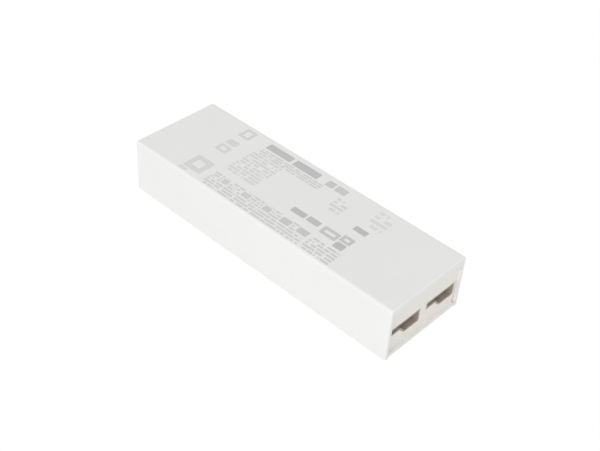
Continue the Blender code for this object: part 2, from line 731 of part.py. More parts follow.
def make_mains_inlet():
    """The figure-eight inlet: a block behind the far wall, its nose flush with the wall, and two pins."""
    nose = inlet_outline(INLET_WALL)
    body = prism("mains_inlet", nose, "X", -WALL_FACE, INLET_REAR - INLET_BACK / 2, BLACK_PLASTIC)
    half = INLET_HALF + INLET_FLANGE
    top = INLET_LEVEL + INLET_OUTER_RADIUS + INLET_FLANGE
    block = prism("inlet_block", rectangle((-half, SEAT), (half, top)), "X", -WALL_BACK + FIT_GAP, INLET_REAR)
    cavity = prism("inlet_cavity", inlet_outline(), "X", -WALL_FACE - MERGE, INLET_REAR - INLET_BACK)
    bore = INLET_PIN_DIAMETER / 2 + FIT_GAP
    places = {"live": -INLET_PIN_PITCH / 2, "neutral": INLET_PIN_PITCH / 2}
    bores = [
        (circle((place, INLET_LEVEL), bore, BORE_SIDES), "X", -WALL_BACK, INLET_REAR + MERGE)
        for place in places.values()
    ]
    join(body, block)
    cut(body, cavity, prisms("inlet_bores", bores))
    for pole, place in places.items():
        make_pin(
            f"mains_pin_{pole}",
            INLET_PIN_RECESS - WALL_FACE,
            INLET_REAR + INLET_TAIL_REACH,
            place,
            INLET_LEVEL,
            INLET_PIN_DIAMETER,
        )


def standing_leads(name, places, top):
    """Straight leads from the board up into a standing component."""
    return prisms(name, [(circle(place, LEAD_DIAMETER / 2, LEAD_SIDES), "Z", SEAT, top) for place in places])


def make_disc(name, diameter, thickness, along, across, finish):
    """A coated disc standing on two leads, its flat sides facing Y."""
    level = SEAT + LEAD_STANDOFF + diameter / 2
    half, radius, ease = thickness / 2, diameter / 2, DISC_EASE
    profile = [(radius - ease, -half), (radius, ease - half), (radius, half - ease), (radius - ease, half)]
    disc = turned(name, profile, finish)
    places = [(along + side * LEAD_PITCH / 2, across) for side in (-1, 1)]
    join(disc, standing_leads(name + "_leads", places, level))
    place_modelled(disc, (along, across, level), "Y")


def place_modelled(obj, place, axis):
    """Turns a form made about Z to lie along an axis and moves its mesh to its place."""
    for vert in obj.data.vertices:
        point = vert.co.copy()
        if axis == "X":
            point = Vector((point.z, point.x, point.y))
        elif axis == "Y":
            point = Vector((point.y, point.z, point.x))
        vert.co = point + Vector(place)


def upright_profile(diameter, height):
    """The profile of a standing round body with both edges eased."""
    radius = diameter / 2
    return [
        (radius - CAN_EDGE, 0.0),
        (radius, CAN_EDGE),
        (radius, height - CAN_EDGE),
        (radius - CAN_EDGE, height),
    ]


def make_upright(name, diameter, height, pitch, place, finish):
    """A round body standing on two leads."""
    along, across = place
    body = turned(name, upright_profile(diameter, height), finish)
    feet = [(along + side * pitch / 2, across) for side in (-1, 1)]
    join(body, standing_leads(name + "_leads", feet, SEAT + LEAD_STANDOFF + MERGE))
    place_modelled(body, (along, across, SEAT + LEAD_STANDOFF), "Z")


def make_entry_parts():
    """Fuse, varistor and suppression capacitor in a row behind the inlet."""
    along = row_middle("entry")
    fuse_across = BACK_EDGE - FUSE_DIAMETER / 2
    make_upright("fuse", FUSE_DIAMETER, FUSE_HEIGHT, LEAD_PITCH, (along, fuse_across), FUSE_BROWN)

    half = SUPPRESSOR_THICKNESS / 2
    back = FRONT_EDGE + SUPPRESSOR_LENGTH
    outline = rounded_rectangle((along - half, FRONT_EDGE), (along + half, back), CAN_EDGE, FEW_STEPS)
    bottom, top = SEAT + LEAD_STANDOFF, SEAT + SUPPRESSOR_HEIGHT
    capacitor = prism("suppression_capacitor", outline, "Z", bottom, top, FILM_YELLOW)
    middle = FRONT_EDGE + SUPPRESSOR_LENGTH / 2
    places = [(along, middle + side * SUPPRESSOR_LEAD_PITCH / 2) for side in (-1, 1)]
    join(capacitor, standing_leads("suppressor_leads", places, bottom + MERGE))

    free = (back + fuse_across - FUSE_DIAMETER / 2) / 2
    make_disc("varistor", VARISTOR_DIAMETER, VARISTOR_THICKNESS, along, free, VARISTOR_BLUE)


def choke_place():
    """The common-mode choke's middle in the plane of the board."""
    return row_middle("filter"), BACK_EDGE - CHOKE_COIL_RADIUS


def make_choke():
    """The common-mode choke: a ferrite ring on a plastic base, with a helical winding on each half."""
    along, across = choke_place()
    outer, inner = CHOKE_OUTER_DIAMETER / 2, CHOKE_INNER_DIAMETER / 2
    coil_gap = CHOKE_WIRE_DIAMETER + 2 * FIT_GAP
    bottom = SEAT + CHOKE_BASE_HEIGHT + coil_gap
    ease = CHOKE_CORNER
    profile = [(inner + ease, 0.0), (outer - ease, 0.0), (outer, ease), (outer, CHOKE_HEIGHT - ease)]
    profile += [(outer - ease, CHOKE_HEIGHT), (inner + ease, CHOKE_HEIGHT), (inner, CHOKE_HEIGHT - ease)]
    profile += [(inner, ease)]
    core = turned("choke_core", profile, FERRITE, closed=True, sides=RING_SIDES)
    place_modelled(core, (along, across, bottom), "Z")

    plate = circle((along, across), outer, RING_SIDES)
    base = prism("choke_base", plate, "Z", SEAT, SEAT + CHOKE_BASE_HEIGHT, NYLON)
    reach, half = inner - CHOKE_WIRE_DIAMETER - 2 * FIT_GAP, CHOKE_DIVIDER / 2
    fin = rectangle((along - reach, across - half), (along + reach, across + half))
    divider = prism("choke_divider", fin, "Z", SEAT + MERGE, bottom + CHOKE_HEIGHT)
    join(base, divider)

    for name, side in (("line", 1), ("return", -1)):
        wire(f"choke_winding_{name}", winding_path(side, bottom), CHOKE_WIRE_DIAMETER, COPPER_WIRE)


def winding_path(side, bottom):
    """The wire's path: up from the board, round and round one half of the ring, and down again."""
    along, across = choke_place()
    middle = (CHOKE_OUTER_DIAMETER + CHOKE_INNER_DIAMETER) / 4
    away = CHOKE_WIRE_DIAMETER / 2 + FIT_GAP
    half_width = (CHOKE_OUTER_DIAMETER - CHOKE_INNER_DIAMETER) / 4 + away
    half_height = CHOKE_HEIGHT / 2 + away
    level = bottom + CHOKE_HEIGHT / 2
    corner = CHOKE_CORNER + away
    loop = rounded_rectangle((-half_width, -half_height), (half_width, half_height), corner, FEW_STEPS)
    loop = loop[FEW_STEPS:] + loop[:FEW_STEPS]
    total = CHOKE_TURNS * len(loop)
    points = []
    for i in range(total + 1):
        out, up = loop[i % len(loop)]
        angle = math.radians(side * (90 + CHOKE_WINDING_ARC * (i / total - 0.5)))
        reach = middle + out
        points.append((along + reach * math.cos(angle), across + reach * math.sin(angle), level + up))
    foot = SEAT + CHOKE_WIRE_DIAMETER
    ends = [(points[0][0], points[0][1], foot), (points[-1][0], points[-1][1], foot)]
    return [ends[0]] + points + [ends[1]]


def make_package(name, middle, size, legs_per_side, finish, axis="Y"):
    """A moulded package with tapered sides, its bent legs in two rows that point along an axis."""
    length, width, height = size
    bottom = SEAT + PACKAGE_STANDOFF
    top, half, draft = bottom + height, width / 2, PACKAGE_DRAFT
    belt = (bottom + top) / 2
    lengthwise, crosswise = middle if axis == "Y" else reversed(middle)
    sweep = "X" if axis == "Y" else "Y"
    outline = [(crosswise - half + draft, bottom), (crosswise + half - draft, bottom)]
    outline += [(crosswise + half, belt), (crosswise + half - draft, top)]
    outline += [(crosswise - half + draft, top), (crosswise - half, belt)]
    body = prism(name, outline, sweep, lengthwise - length / 2, lengthwise + length / 2, finish)
    pitch = length / legs_per_side
    parts = []
    for i in range(legs_per_side):
        place = lengthwise + (i - (legs_per_side - 1) / 2) * pitch
        for side in (-1, 1):
            reach = crosswise + side * (half + LEG_REACH)
            start = crosswise + side * (half - MERGE)
            leg = [(start, belt), (reach, belt), (reach, SEAT), (reach - side * LEG_THICKNESS, SEAT)]
            leg += [(reach - side * LEG_THICKNESS, belt - LEG_THICKNESS), (start, belt - LEG_THICKNESS)]
            parts.append((leg, sweep, place - LEG_WIDTH / 2, place + LEG_WIDTH / 2))
    join(body, prisms(name + "_legs", parts))


def can_profile(diameter, length):
    """The profile of a sleeved can: eased edges, a rolled groove near the lead end and a dipped top."""
    radius, groove = diameter / 2, CAN_GROOVE_PLACE
    rim = radius - CAN_EDGE - CAN_RIM
    return [
        (radius - CAN_EDGE, 0.0),
        (radius, CAN_EDGE),
        (radius, groove - CAN_GROOVE_REACH),
        (radius - CAN_GROOVE, groove),
        (radius, groove + CAN_GROOVE_REACH),
        (radius, length - CAN_EDGE),
        (radius - CAN_EDGE, length),
        (rim, length),
        (rim - CAN_DIP, length - CAN_DIP),
    ]


def make_lying_can(name, start, across):
    """A can lying along the board, its two leads bent down to it."""
    level = SEAT + BULK_DIAMETER / 2
    can = turned(name, can_profile(BULK_DIAMETER, BULK_LENGTH), CAN_SLEEVE)
    place_modelled(can, (start, across, level), "X")
    for side in (-1, 1):
        place = across + side * SHORT_LEAD_PITCH / 2
        reach = start - LEG_REACH
        path = [(start + MERGE, place, level), (reach, place, level), (reach, place, SEAT)]
        join(can, wire(f"{name}_lead_{(side + 1) // 2}", path, LEAD_DIAMETER))


def make_storage_parts():
    """Bridge rectifier in the filter row; two lying capacitors, the controller chip and the filter inductor."""
    bridge_across = FRONT_EDGE + LEG_REACH + BRIDGE_WIDTH / 2
    bridge_size = (BRIDGE_LENGTH, BRIDGE_WIDTH, BRIDGE_HEIGHT)
    make_package("bridge_rectifier", (row_middle("filter"), bridge_across), bridge_size, 2, BLACK_PLASTIC)

    start = row_start("storage") + LEG_REACH + LEAD_DIAMETER / 2
    can_across = FRONT_EDGE + BULK_DIAMETER / 2
    make_lying_can("bulk_capacitor_front", start, can_across)
    make_lying_can("bulk_capacitor_middle", start, can_across + BULK_DIAMETER + PART_SPACING / 2)

    chip_place = (row_start("storage") + CHIP_LENGTH / 2, BACK_EDGE - LEG_REACH - CHIP_WIDTH / 2)
    chip_size = (CHIP_LENGTH, CHIP_WIDTH, CHIP_HEIGHT)
    make_package("controller_chip", chip_place, chip_size, CHIP_LEGS_PER_SIDE, BLACK_PLASTIC)
    drum_along = row_start("storage") + CHIP_LENGTH + PART_SPACING + DRUM_DIAMETER / 2
    drum_place = (drum_along, BACK_EDGE - DRUM_DIAMETER / 2)
    make_upright("filter_inductor", DRUM_DIAMETER, DRUM_HEIGHT, SHORT_LEAD_PITCH, drum_place, BLACK_PLASTIC)


def make_transformer():
    """The transformer: two ferrite halves in a bobbin, its winding and a tape round the core."""
    middle, across = row_middle("transformer"), TRANSFORMER_ACROSS
    half = CORE_WIDTH / 2
    low, high = CORE_LEVEL - CORE_HEIGHT / 2, CORE_LEVEL + CORE_HEIGHT / 2
    for name, side in (("far", -1), ("near", 1)):
        back = middle + side * CORE_HALF_LENGTH
        face = middle + side * FIT_GAP / 2
        web = middle + side * (CORE_HALF_LENGTH - CORE_BACK)
        outline = [(back, -half), (face, -half), (face, CORE_LEG - half), (web, CORE_LEG - half)]
        outline += [(web, -CORE_LEG), (face, -CORE_LEG), (face, CORE_LEG), (web, CORE_LEG)]
        outline += [(web, half - CORE_LEG), (face, half - CORE_LEG), (face, half), (back, half)]
        outline = [(point, across + offset) for point, offset in outline]
        prism(f"transformer_core_{name}", outline, "Z", low, high, FERRITE)

    window = CORE_HALF_LENGTH - CORE_BACK - FIT_GAP / 2
    tube_across, tube_up = CORE_LEG + FIT_GAP, CORE_HEIGHT / 2 + FIT_GAP
    make_bobbin(middle, window, tube_across, tube_up)

    reach = window - 2 * FIT_GAP - BOBBIN_FLANGE
    width, height = WINDING_WIDTH / 2, WINDING_HEIGHT / 2
    low, high = (across - width, CORE_LEVEL - height), (across + width, CORE_LEVEL + height)
    coil = rounded_rectangle(low, high, WINDING_CORNER)
    winding = prism("transformer_winding", coil, "X", middle - reach, middle + reach, COPPER_WIRE)
    width, height = tube_across + BOBBIN_WALL + FIT_GAP, tube_up + BOBBIN_WALL + FIT_GAP
    opening = rectangle((across - width, CORE_LEVEL - height), (across + width, CORE_LEVEL + height))
    cut(winding, prism("winding_opening", opening, "X", middle - reach - MERGE, middle + reach + MERGE))

    band_low, band_high = CORE_LEVEL - TAPE_WIDTH / 2, CORE_LEVEL + TAPE_WIDTH / 2
    inner, outer = FIT_GAP, FIT_GAP + TAPE_THICKNESS
    band = prism("transformer_tape", core_outline(outer), "Z", band_low, band_high, TAPE_YELLOW)
    cut(band, prism("tape_opening", core_outline(inner), "Z", band_low - MERGE, band_high + MERGE))


def core_outline(grow):
    """The ferrite core's outline from above, grown outwards on every side with round corners."""
    along, across = CORE_HALF_LENGTH + grow, CORE_WIDTH / 2 + grow
    middle = row_middle("transformer")
    low, high = (middle - along, TRANSFORMER_ACROSS - across), (middle + along, TRANSFORMER_ACROSS + across)
    return rounded_rectangle(low, high, grow, FEW_STEPS)


def make_bobbin(middle, window, tube_across, tube_up):
    """The bobbin: a square tube with two flanges, each standing on a foot rail in front of the core's back."""
    across = TRANSFORMER_ACROSS
    side_reach, up_reach = tube_across + BOBBIN_WALL, tube_up + BOBBIN_WALL
    tube = rectangle((across - side_reach, CORE_LEVEL - up_reach), (across + side_reach, CORE_LEVEL + up_reach))
    reach = window - FIT_GAP
    bobbin = prism("transformer_bobbin", tube, "X", middle - reach, middle + reach, NYLON)
    width, height = WINDING_WIDTH / 2, WINDING_HEIGHT / 2 + FIT_GAP
    flange = rectangle((across - width, CORE_LEVEL - height), (across + width, CORE_LEVEL + height))
    foot_half, foot_top = BOBBIN_FOOT_LENGTH / 2, CORE_LEVEL - CORE_HEIGHT / 2 - FIT_GAP
    foot = rectangle((across - foot_half, SEAT), (across + foot_half, foot_top))
    parts, feet = [], []
    for side in (-1, 1):
        outer, inner = middle + side * reach, middle + side * (reach - BOBBIN_FLANGE)
        parts.append((flange, "X", *sorted((outer, inner))))
        feet.append((foot, "X", *sorted((inner, inner + side * (BOBBIN_FOOT_WIDTH + BOBBIN_FLANGE)))))
    low, high = (across - tube_across, CORE_LEVEL - tube_up), (across + tube_across, CORE_LEVEL + tube_up)
    opening = rectangle(low, high)
    hole = prism("bobbin_opening", opening, "X", middle - reach - MERGE, middle + reach + MERGE)
    join(bobbin, prisms("bobbin_flanges", parts), prisms("bobbin_feet", feet))
    cut(bobbin, hole)


def make_barrier_parts():
    """The safety capacitor and the optocoupler, one on each side of the transformer, across the barrier."""
    along = row_middle("transformer")
    disc_across = BACK_EDGE - DISC_THICKNESS / 2
    make_disc("safety_capacitor", DISC_DIAMETER, DISC_THICKNESS, along, disc_across, DISC_BLUE)
    place = (along, FRONT_EDGE + COUPLER_LENGTH / 2)
    size = (COUPLER_LENGTH, COUPLER_WIDTH, COUPLER_HEIGHT)
    make_package("optocoupler", place, size, COUPLER_LEGS_PER_SIDE, DARK_PLASTIC, "X")


def make_axial(name, diameter, length, place, axis, finish):
    """A body lying on the board along an axis, with a lead bent down at each end."""
    radius, half, ease = diameter / 2, length / 2, AXIAL_EASE
    level = SEAT + radius
    profile = [(radius - ease, -half), (radius, ease - half), (radius, half - ease), (radius - ease, half)]
    body = turned(name, profile, finish)
    place_modelled(body, (*place, level), axis)
    step = Vector((1, 0, 0)) if axis == "X" else Vector((0, 1, 0))
    middle = Vector((*place, level))
    for side in (-1, 1):
        end, bend = middle + side * (half - MERGE) * step, middle + side * (half + LEG_REACH) * step
        path = [end, bend, (bend.x, bend.y, SEAT)]
        join(body, wire(f"{name}_lead_{(side + 1) // 2}", path, LEAD_DIAMETER))


def make_output_parts():
    """Rectifier diode, snubber, output inductor and the two output capacitors."""
    along = row_middle("rectifier")
    inductor_across = FRONT_EDGE + INDUCTOR_DIAMETER / 2
    make_output_inductor(along, inductor_across)
    diode_reach = DIODE_LENGTH / 2 + LEG_REACH + LEAD_DIAMETER / 2
    diode_across = BACK_EDGE - diode_reach
    make_axial("output_diode", DIODE_DIAMETER, DIODE_LENGTH, (along, diode_across), "Y", BLACK_PLASTIC)
    free = (diode_across - diode_reach + inductor_across + INDUCTOR_DIAMETER / 2) / 2
    make_axial("snubber_resistor", RESISTOR_DIAMETER, RESISTOR_LENGTH, (along, free), "X", RESISTOR_BODY)
    offset = (OUTPUT_CAP_DIAMETER + PART_SPACING) / 2
    for name, side in (("front", -1), ("back", 1)):
        profile = can_profile(OUTPUT_CAP_DIAMETER, OUTPUT_CAP_HEIGHT)
        can = turned(f"output_capacitor_{name}", profile, CAN_SLEEVE)
        place_modelled(can, (NEAR_SCREW, side * offset, SEAT), "Z")


def make_output_inductor(along, across):
    """The output inductor: a ferrite bobbin core with a round winding between its flanges."""
    radius, waist, flange = INDUCTOR_DIAMETER / 2, INDUCTOR_WAIST / 2, INDUCTOR_FLANGE
    top = INDUCTOR_HEIGHT
    profile = [(radius, 0.0), (radius, flange), (waist, flange)]
    profile += [(waist, top - flange), (radius, top - flange), (radius, top)]
    core = turned("output_inductor_core", profile, FERRITE)
    place_modelled(core, (along, across, SEAT), "Z")
    low, high = flange + FIT_GAP, top - flange - FIT_GAP
    inner, outer = waist + FIT_GAP, radius - FIT_GAP
    ring = [(inner, low), (outer, low), (outer, high), (inner, high)]
    winding = turned("output_inductor_winding", ring, COPPER_WIRE, closed=True)
    place_modelled(winding, (along, across, SEAT), "Z")


def main():
    """Builds the driver from its housing inwards."""
    clear_scene()
    make_cover()
    make_tray()
    make_screws()
    make_board()
    make_insulation_sheet()
    make_output_sockets()
    make_mains_inlet()
    make_entry_parts()
    make_choke()
    make_storage_parts()
    make_transformer()
    make_barrier_parts()
    make_output_parts()


main()
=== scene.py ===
"""The look of a small plug-in LED driver: a white moulded box with two keyed sockets and a mains inlet.

The housing, the sockets, the inlet, the screws and the coils are remodelled with fine edges round the
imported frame. The other parts on the board keep their solids and get their finishes. Lengths are metres
in the part's own frame: +X points to the end with the two output sockets and +Z is up.
"""

import json
import logging
import math
from abc import ABC, abstractmethod
from collections.abc import Callable
from dataclasses import dataclass, field
from enum import Enum

import bmesh
import bpy
from mathutils import Matrix, Vector


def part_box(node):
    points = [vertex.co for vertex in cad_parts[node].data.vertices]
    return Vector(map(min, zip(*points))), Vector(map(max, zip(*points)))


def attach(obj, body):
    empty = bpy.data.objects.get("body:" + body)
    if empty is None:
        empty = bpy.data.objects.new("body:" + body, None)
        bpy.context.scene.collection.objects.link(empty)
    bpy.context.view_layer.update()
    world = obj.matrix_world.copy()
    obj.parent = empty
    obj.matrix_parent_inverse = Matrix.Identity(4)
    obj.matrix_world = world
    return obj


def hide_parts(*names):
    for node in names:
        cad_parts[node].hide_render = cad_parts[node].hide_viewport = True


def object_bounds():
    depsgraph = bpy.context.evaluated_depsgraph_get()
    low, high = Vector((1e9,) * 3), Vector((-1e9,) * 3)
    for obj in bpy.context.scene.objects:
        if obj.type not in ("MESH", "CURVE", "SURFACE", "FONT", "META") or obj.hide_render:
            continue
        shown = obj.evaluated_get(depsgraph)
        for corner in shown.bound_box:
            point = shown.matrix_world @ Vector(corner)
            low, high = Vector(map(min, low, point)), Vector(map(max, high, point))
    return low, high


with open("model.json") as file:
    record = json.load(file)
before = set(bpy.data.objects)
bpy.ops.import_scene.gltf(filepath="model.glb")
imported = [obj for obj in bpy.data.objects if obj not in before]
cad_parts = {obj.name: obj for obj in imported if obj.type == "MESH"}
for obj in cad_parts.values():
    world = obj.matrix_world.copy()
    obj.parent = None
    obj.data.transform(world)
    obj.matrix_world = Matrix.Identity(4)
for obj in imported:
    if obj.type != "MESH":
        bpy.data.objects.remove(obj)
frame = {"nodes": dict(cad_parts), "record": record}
CAD_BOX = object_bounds()

MM = 0.001
# Points this near are one, heights this near are level, and places this near a face lie on it
WELD = 1e-7
LEVEL = 1e-6
SKIN = 0.05 * MM
# Edges sharper than this stay sharp in the shading and are rounded by ease
SMOOTH_ANGLE = math.radians(32)
# The noise that a spot fades between, the detail of fine noise and the seed of random turns
SPOTS = (0.35, 0.65)
FINE = 3.0
SEED = 4
LOG = logging.getLogger("led_driver")

Point = tuple[float, float]
Place = tuple[float, float, float]
Colour = tuple[float, float, float]


def operator(operation: str, reflected: bool = False) -> Callable[..., "Value"]:
    """One of Value's operators or functions.

    Args:
        operation: What the Math node works out.
        reflected: Whether the value stands on the operator's right.

    Returns:
        The method.
    """

    def method(self: "Value", *others: "Value | float") -> "Value":
        """The Math node's result."""
        operands = (*others, self) if reflected else (self, *others)
        return self.graph.math(operation, *operands)

    return method


class Value:
    """A number's socket in a node tree, which Python's operators turn into Math nodes."""

    __add__, __radd__ = operator("ADD"), operator("ADD", True)
    __sub__, __rsub__ = operator("SUBTRACT"), operator("SUBTRACT", True)
    __mul__, __rmul__ = operator("MULTIPLY"), operator("MULTIPLY", True)
    __truediv__, __rtruediv__ = operator("DIVIDE"), operator("DIVIDE", True)
    __pow__, __rpow__ = operator("POWER"), operator("POWER", True)
    __lt__, __gt__ = operator("LESS_THAN"), operator("GREATER_THAN")
    __abs__, sign, most = operator("ABSOLUTE"), operator("SIGN"), operator("MAXIMUM")
    whole, fraction = operator("FLOOR"), operator("FRACT")
    sine, cosine = operator("SINE"), operator("COSINE")

    def __init__(self, graph: "Graph", socket: bpy.types.NodeSocket) -> None:
        """Wraps a socket.

        Args:
            graph: The graph that the socket belongs to.
            socket: The output socket that gives the number.
        """
        self.graph = graph
        self.socket = socket

    def ramp(self, low: float, high: float) -> "Value":
        """A smooth step.

        Args:
            low: The value that gives zero.
            high: The value that gives one.

        Returns:
            The value from zero to one.
        """
        settings = {"interpolation_type": "SMOOTHSTEP"}
        inputs = {"Value": self, "From Min": low, "From Max": high}
        return Value(self.graph, self.graph.node("ShaderNodeMapRange", settings, inputs).outputs[0])


class Graph:
    """A node tree that is being written."""

    def __init__(self, tree: bpy.types.NodeTree) -> None:
        """Wraps a tree.

        Args:
            tree: A shader tree or a geometry tree.
        """
        self.tree = tree

    def node(self, kind: str, settings: dict | None = None, inputs: dict | None = None) -> bpy.types.Node:
        """Adds a node.

        Args:
            kind: The node's type.
            settings: Its own settings, which are set first.
            inputs: A number, a colour, an object or a Value for each socket, by name or index.

        Returns:
            The node.
        """
        made = self.tree.nodes.new(kind)
        for name, value in (settings or {}).items():
            setattr(made, name, value)
        for key, value in (inputs or {}).items():
            if isinstance(value, Value):
                self.tree.links.new(value.socket, made.inputs[key])
            else:
                made.inputs[key].default_value = value
        return made

    def value(
        self, kind: str, settings: dict | None = None, inputs: dict | None = None, output: int | str = 0
    ) -> Value:
        """Adds a node and gives one of its outputs.

        Args:
            kind: The node's type.
            settings: Its own settings.
            inputs: Its sockets' values or links.
            output: The output's name or index.

        Returns:
            The output.
        """
        return Value(self, self.node(kind, settings, inputs).outputs[output])

    def math(self, operation: str, *operands: "Value | float") -> Value:
        """One Math node.

        Args:
            operation: What it works out.
            operands: The numbers, in order.

        Returns:
            The result.
        """
        return self.value("ShaderNodeMath", {"operation": operation}, dict(enumerate(operands)))


class Paint(Graph):
    """A material's graph, with the steps that the finishes share."""

    def __init__(self, name: str) -> None:
        """Makes an empty material.

        Args:
            name: The material's name.
        """
        self.material = bpy.data.materials.new(name)
        self.material.use_nodes = True
        super().__init__(self.material.node_tree)
        self.tree.nodes.clear()
        self.place = self.value("ShaderNodeTexCoord", output="Object")
        axes = self.node("ShaderNodeSeparateXYZ", inputs={0: self.place})
        self.x, self.y, self.z = (Value(self, axes.outputs[i]) for i in range(3))

    def within(self, low: Place, high: Place) -> Value:
        """Whether a place lies in a box.

        Args:
            low: The box's lowest corner.
            high: Its highest corner.

        Returns:
            One inside, else zero.
        """
        sides = zip((self.x, self.y, self.z), low, high)
        along, across, up = ((place > first) * (place < last) for place, first, last in sides)
        return along * across * up

    def noise(self, size: float, detail: float = 2.0) -> Value:
        """Soft noise from zero to one.

        Args:
            size: How far apart its spots lie.
            detail: How many finer layers it has.

        Returns:
            The noise.
        """
        inputs = {"Vector": self.place, "Scale": 1 / size, "Detail": detail}
        return self.value("ShaderNodeTexNoise", inputs=inputs)

    def chance(self, column: Value, row: Value) -> Value:
        """A random number for each cell of a grid.

        Args:
            column: How far across a place lies, in cells.
            row: How far up it lies, in cells.

        Returns:
            The number, from zero to one.
        """
        cell = self.value("ShaderNodeCombineXYZ", inputs={0: column.whole(), 1: row.whole()})
        return self.value("ShaderNodeTexWhiteNoise", {"noise_dimensions": "2D"}, {"Vector": cell})

    def blend(self, factor: "Value | float", first: "Colour | Value", second: "Colour | Value") -> Value:
        """A mix of two colours.

        Args:
            factor: The share of the second.
            first: The colour at zero.
            second: The colour at one.

        Returns:
            The mixed colour.
        """
        ends = [(*end, 1.0) if isinstance(end, tuple) else end for end in (first, second)]
        inputs = {0: factor, 6: ends[0], 7: ends[1]}
        return self.value("ShaderNodeMix", {"data_type": "RGBA"}, inputs, 2)

    def relief(self, height: Value, depth: float) -> Value:
        """The normal of a surface with a fine relief.

        Args:
            height: The relief, from zero to one.
            depth: How deep it is.

        Returns:
            The normal.
        """
        return self.value("ShaderNodeBump", inputs={"Height": height, "Distance": depth, "Strength": 1.0})

    def surface(self, inputs: dict) -> bpy.types.Material:
        """Ends the material in one shader.

        Args:
            inputs: The shader's sockets by name.

        Returns:
            The material.
        """
        shader = self.value("ShaderNodeBsdfPrincipled", inputs=inputs)
        self.node("ShaderNodeOutputMaterial", inputs={"Surface": shader})
        return self.material


class Mark(Enum):
    """The simple shapes that stand for the print on the top."""

    BAR = "a filled rectangle"
    FRAME = "the outline of a rectangle"
    ROWS = "rows of small blocks and gaps"


@dataclass(frozen=True)
class Print:
    """One printed shape that is seen from above, with its corners in (x, y)."""

    mark: Mark
    low: Point
    high: Point
    ink: float
    line: float
    share: float = 0.78
    cell: float = 0.55
    space: float = 0.55
    corner: float = 0.45 * MM
    least_corner: float = 0.045 * MM
    margin: float = 0.5 * MM

    def cover(self, paint: Paint) -> Value:
        """How much ink lies at a place.

        Args:
            paint: The graph that the print is drawn in.

        Returns:
            The ink, from zero to one.
        """
        if self.mark is Mark.ROWS:
            gap, height = self.line * self.space, self.high[1] - self.low[1]
            pitch = (height + gap) / round((height + gap) / (self.line + gap))
            row = (paint.y - self.low[1]) / pitch
            column = (paint.x - self.low[0]) / (self.line * self.cell)
            filled = (row.fraction() < 1.0 - gap / pitch) * (paint.chance(column, row) < self.share)
            return self.inside(paint, 0.0) * filled * self.ink
        if self.mark is Mark.FRAME:
            return (self.inside(paint, 0.0) - self.inside(paint, self.line)) * self.ink
        return self.inside(paint, 0.0) * self.ink

    def over(self, paint: Paint, printed: Value) -> Value:
        """How much ink lies at a place once this shape is printed too, with a clear margin round it.

        Args:
            paint: The graph that the print is drawn in.
            printed: The ink of the shapes before it.

        Returns:
            The ink, from zero to one.
        """
        return printed * (1.0 - self.inside(paint, -self.margin)) + self.cover(paint)

    def inside(self, paint: Paint, inset: float) -> Value:
        """Whether a place lies in the rectangle, whose corners are rounded.

        Args:
            paint: The graph that the print is drawn in.
            inset: How far the rectangle is drawn in.

        Returns:
            One inside, else zero.
        """
        radius = max(self.corner - inset, self.least_corner)
        beyond = []
        for place, low, high in zip((paint.x, paint.y), self.low, self.high):
            half = (high - low) / 2 - inset - radius
            beyond.append((abs(place - (low + high) / 2) - half).most(0.0))
        return (beyond[0] * beyond[0] + beyond[1] * beyond[1]) ** 0.5 < radius


@dataclass(frozen=True)
class Finish:
    """A surface whose colour, gloss and grain vary a little."""

    name: str
    colour: Colour
    roughness: float
    metallic: float = 0.0
    variation: float = 0.05
    patch: float = 7 * MM
    grain: float = 0.16 * MM
    depth: float = 0.006 * MM
    coat: float = 0.0
    gloss_patch: float = 1 / 3
    gloss_change: float = 0.08

    def tint(self, paint: Paint) -> Value:
        """The colour over the surface.

        Args:
            paint: The material's graph.

        Returns:
            The colour.
        """
        darker = tuple(channel * (1 - self.variation) for channel in self.colour)
        return paint.blend(paint.noise(self.patch).ramp(*SPOTS), darker, self.colour)

    def height(self, paint: Paint) -> Value:
        """The fine relief over the surface.

        Args:
            paint: The material's graph.

        Returns:
            The relief, from zero to one.
        """
        return paint.noise(self.grain, FINE)

    def gloss(self, paint: Paint) -> Value:
        """The roughness over the surface.

        Args:
            paint: The material's graph.

        Returns:
            The roughness.
        """
        change = paint.noise(self.patch * self.gloss_patch) - 0.5
        return change * self.gloss_change + self.roughness

    def material(self) -> bpy.types.Material:
        """The finish as a material.

        Returns:
            The material.
        """
        paint = Paint(self.name)
        return paint.surface(
            {
                "Base Color": self.tint(paint),
                "Roughness": self.gloss(paint),
                "Metallic": self.metallic,
                "Coat Weight": self.coat,
                "Normal": paint.relief(self.height(paint), self.depth),
            }
        )


@dataclass(frozen=True)
class PrintedPlastic(Finish):
    """White moulded plastic with faint grey print on its top and a painted warm bounce light on the end wall
    round the sockets.
    """

    ink: Colour = (0.30, 0.30, 0.31)
    # Painted light: a warm bounce tint laid over the end wall's box, which is given by wall
    painted_bounce_light: Colour = (0.830, 0.792, 0.742)
    top: float = 0.0
    wall: tuple[Place, Place] = ((0.0, 0.0, 0.0), (0.0, 0.0, 0.0))
    prints: tuple[Print, ...] = ()
    wear: float = 0.25
    wear_spot: float = 0.35 * MM
    wear_range: tuple[float, float] = (0.25, 0.50)

    def tint(self, paint: Paint) -> Value:
        """The plastic's colour with a painted warm bounce light on the end wall and the ink over it.

        Args:
            paint: The material's graph.

        Returns:
            The colour.
        """
        # The end wall's box takes the painted warm bounce light in place of the plain white
        plain = paint.blend(paint.within(*self.wall), super().tint(paint), self.painted_bounce_light)
        ink = self.prints[0].cover(paint)
        for mark in self.prints[1:]:
            ink = mark.over(paint, ink)
        worn = paint.noise(self.wear_spot, FINE).ramp(*self.wear_range) * self.wear + (1 - self.wear)
        on_top = paint.z > self.top - SKIN
        return paint.blend(ink * worn * on_top, plain, self.ink)


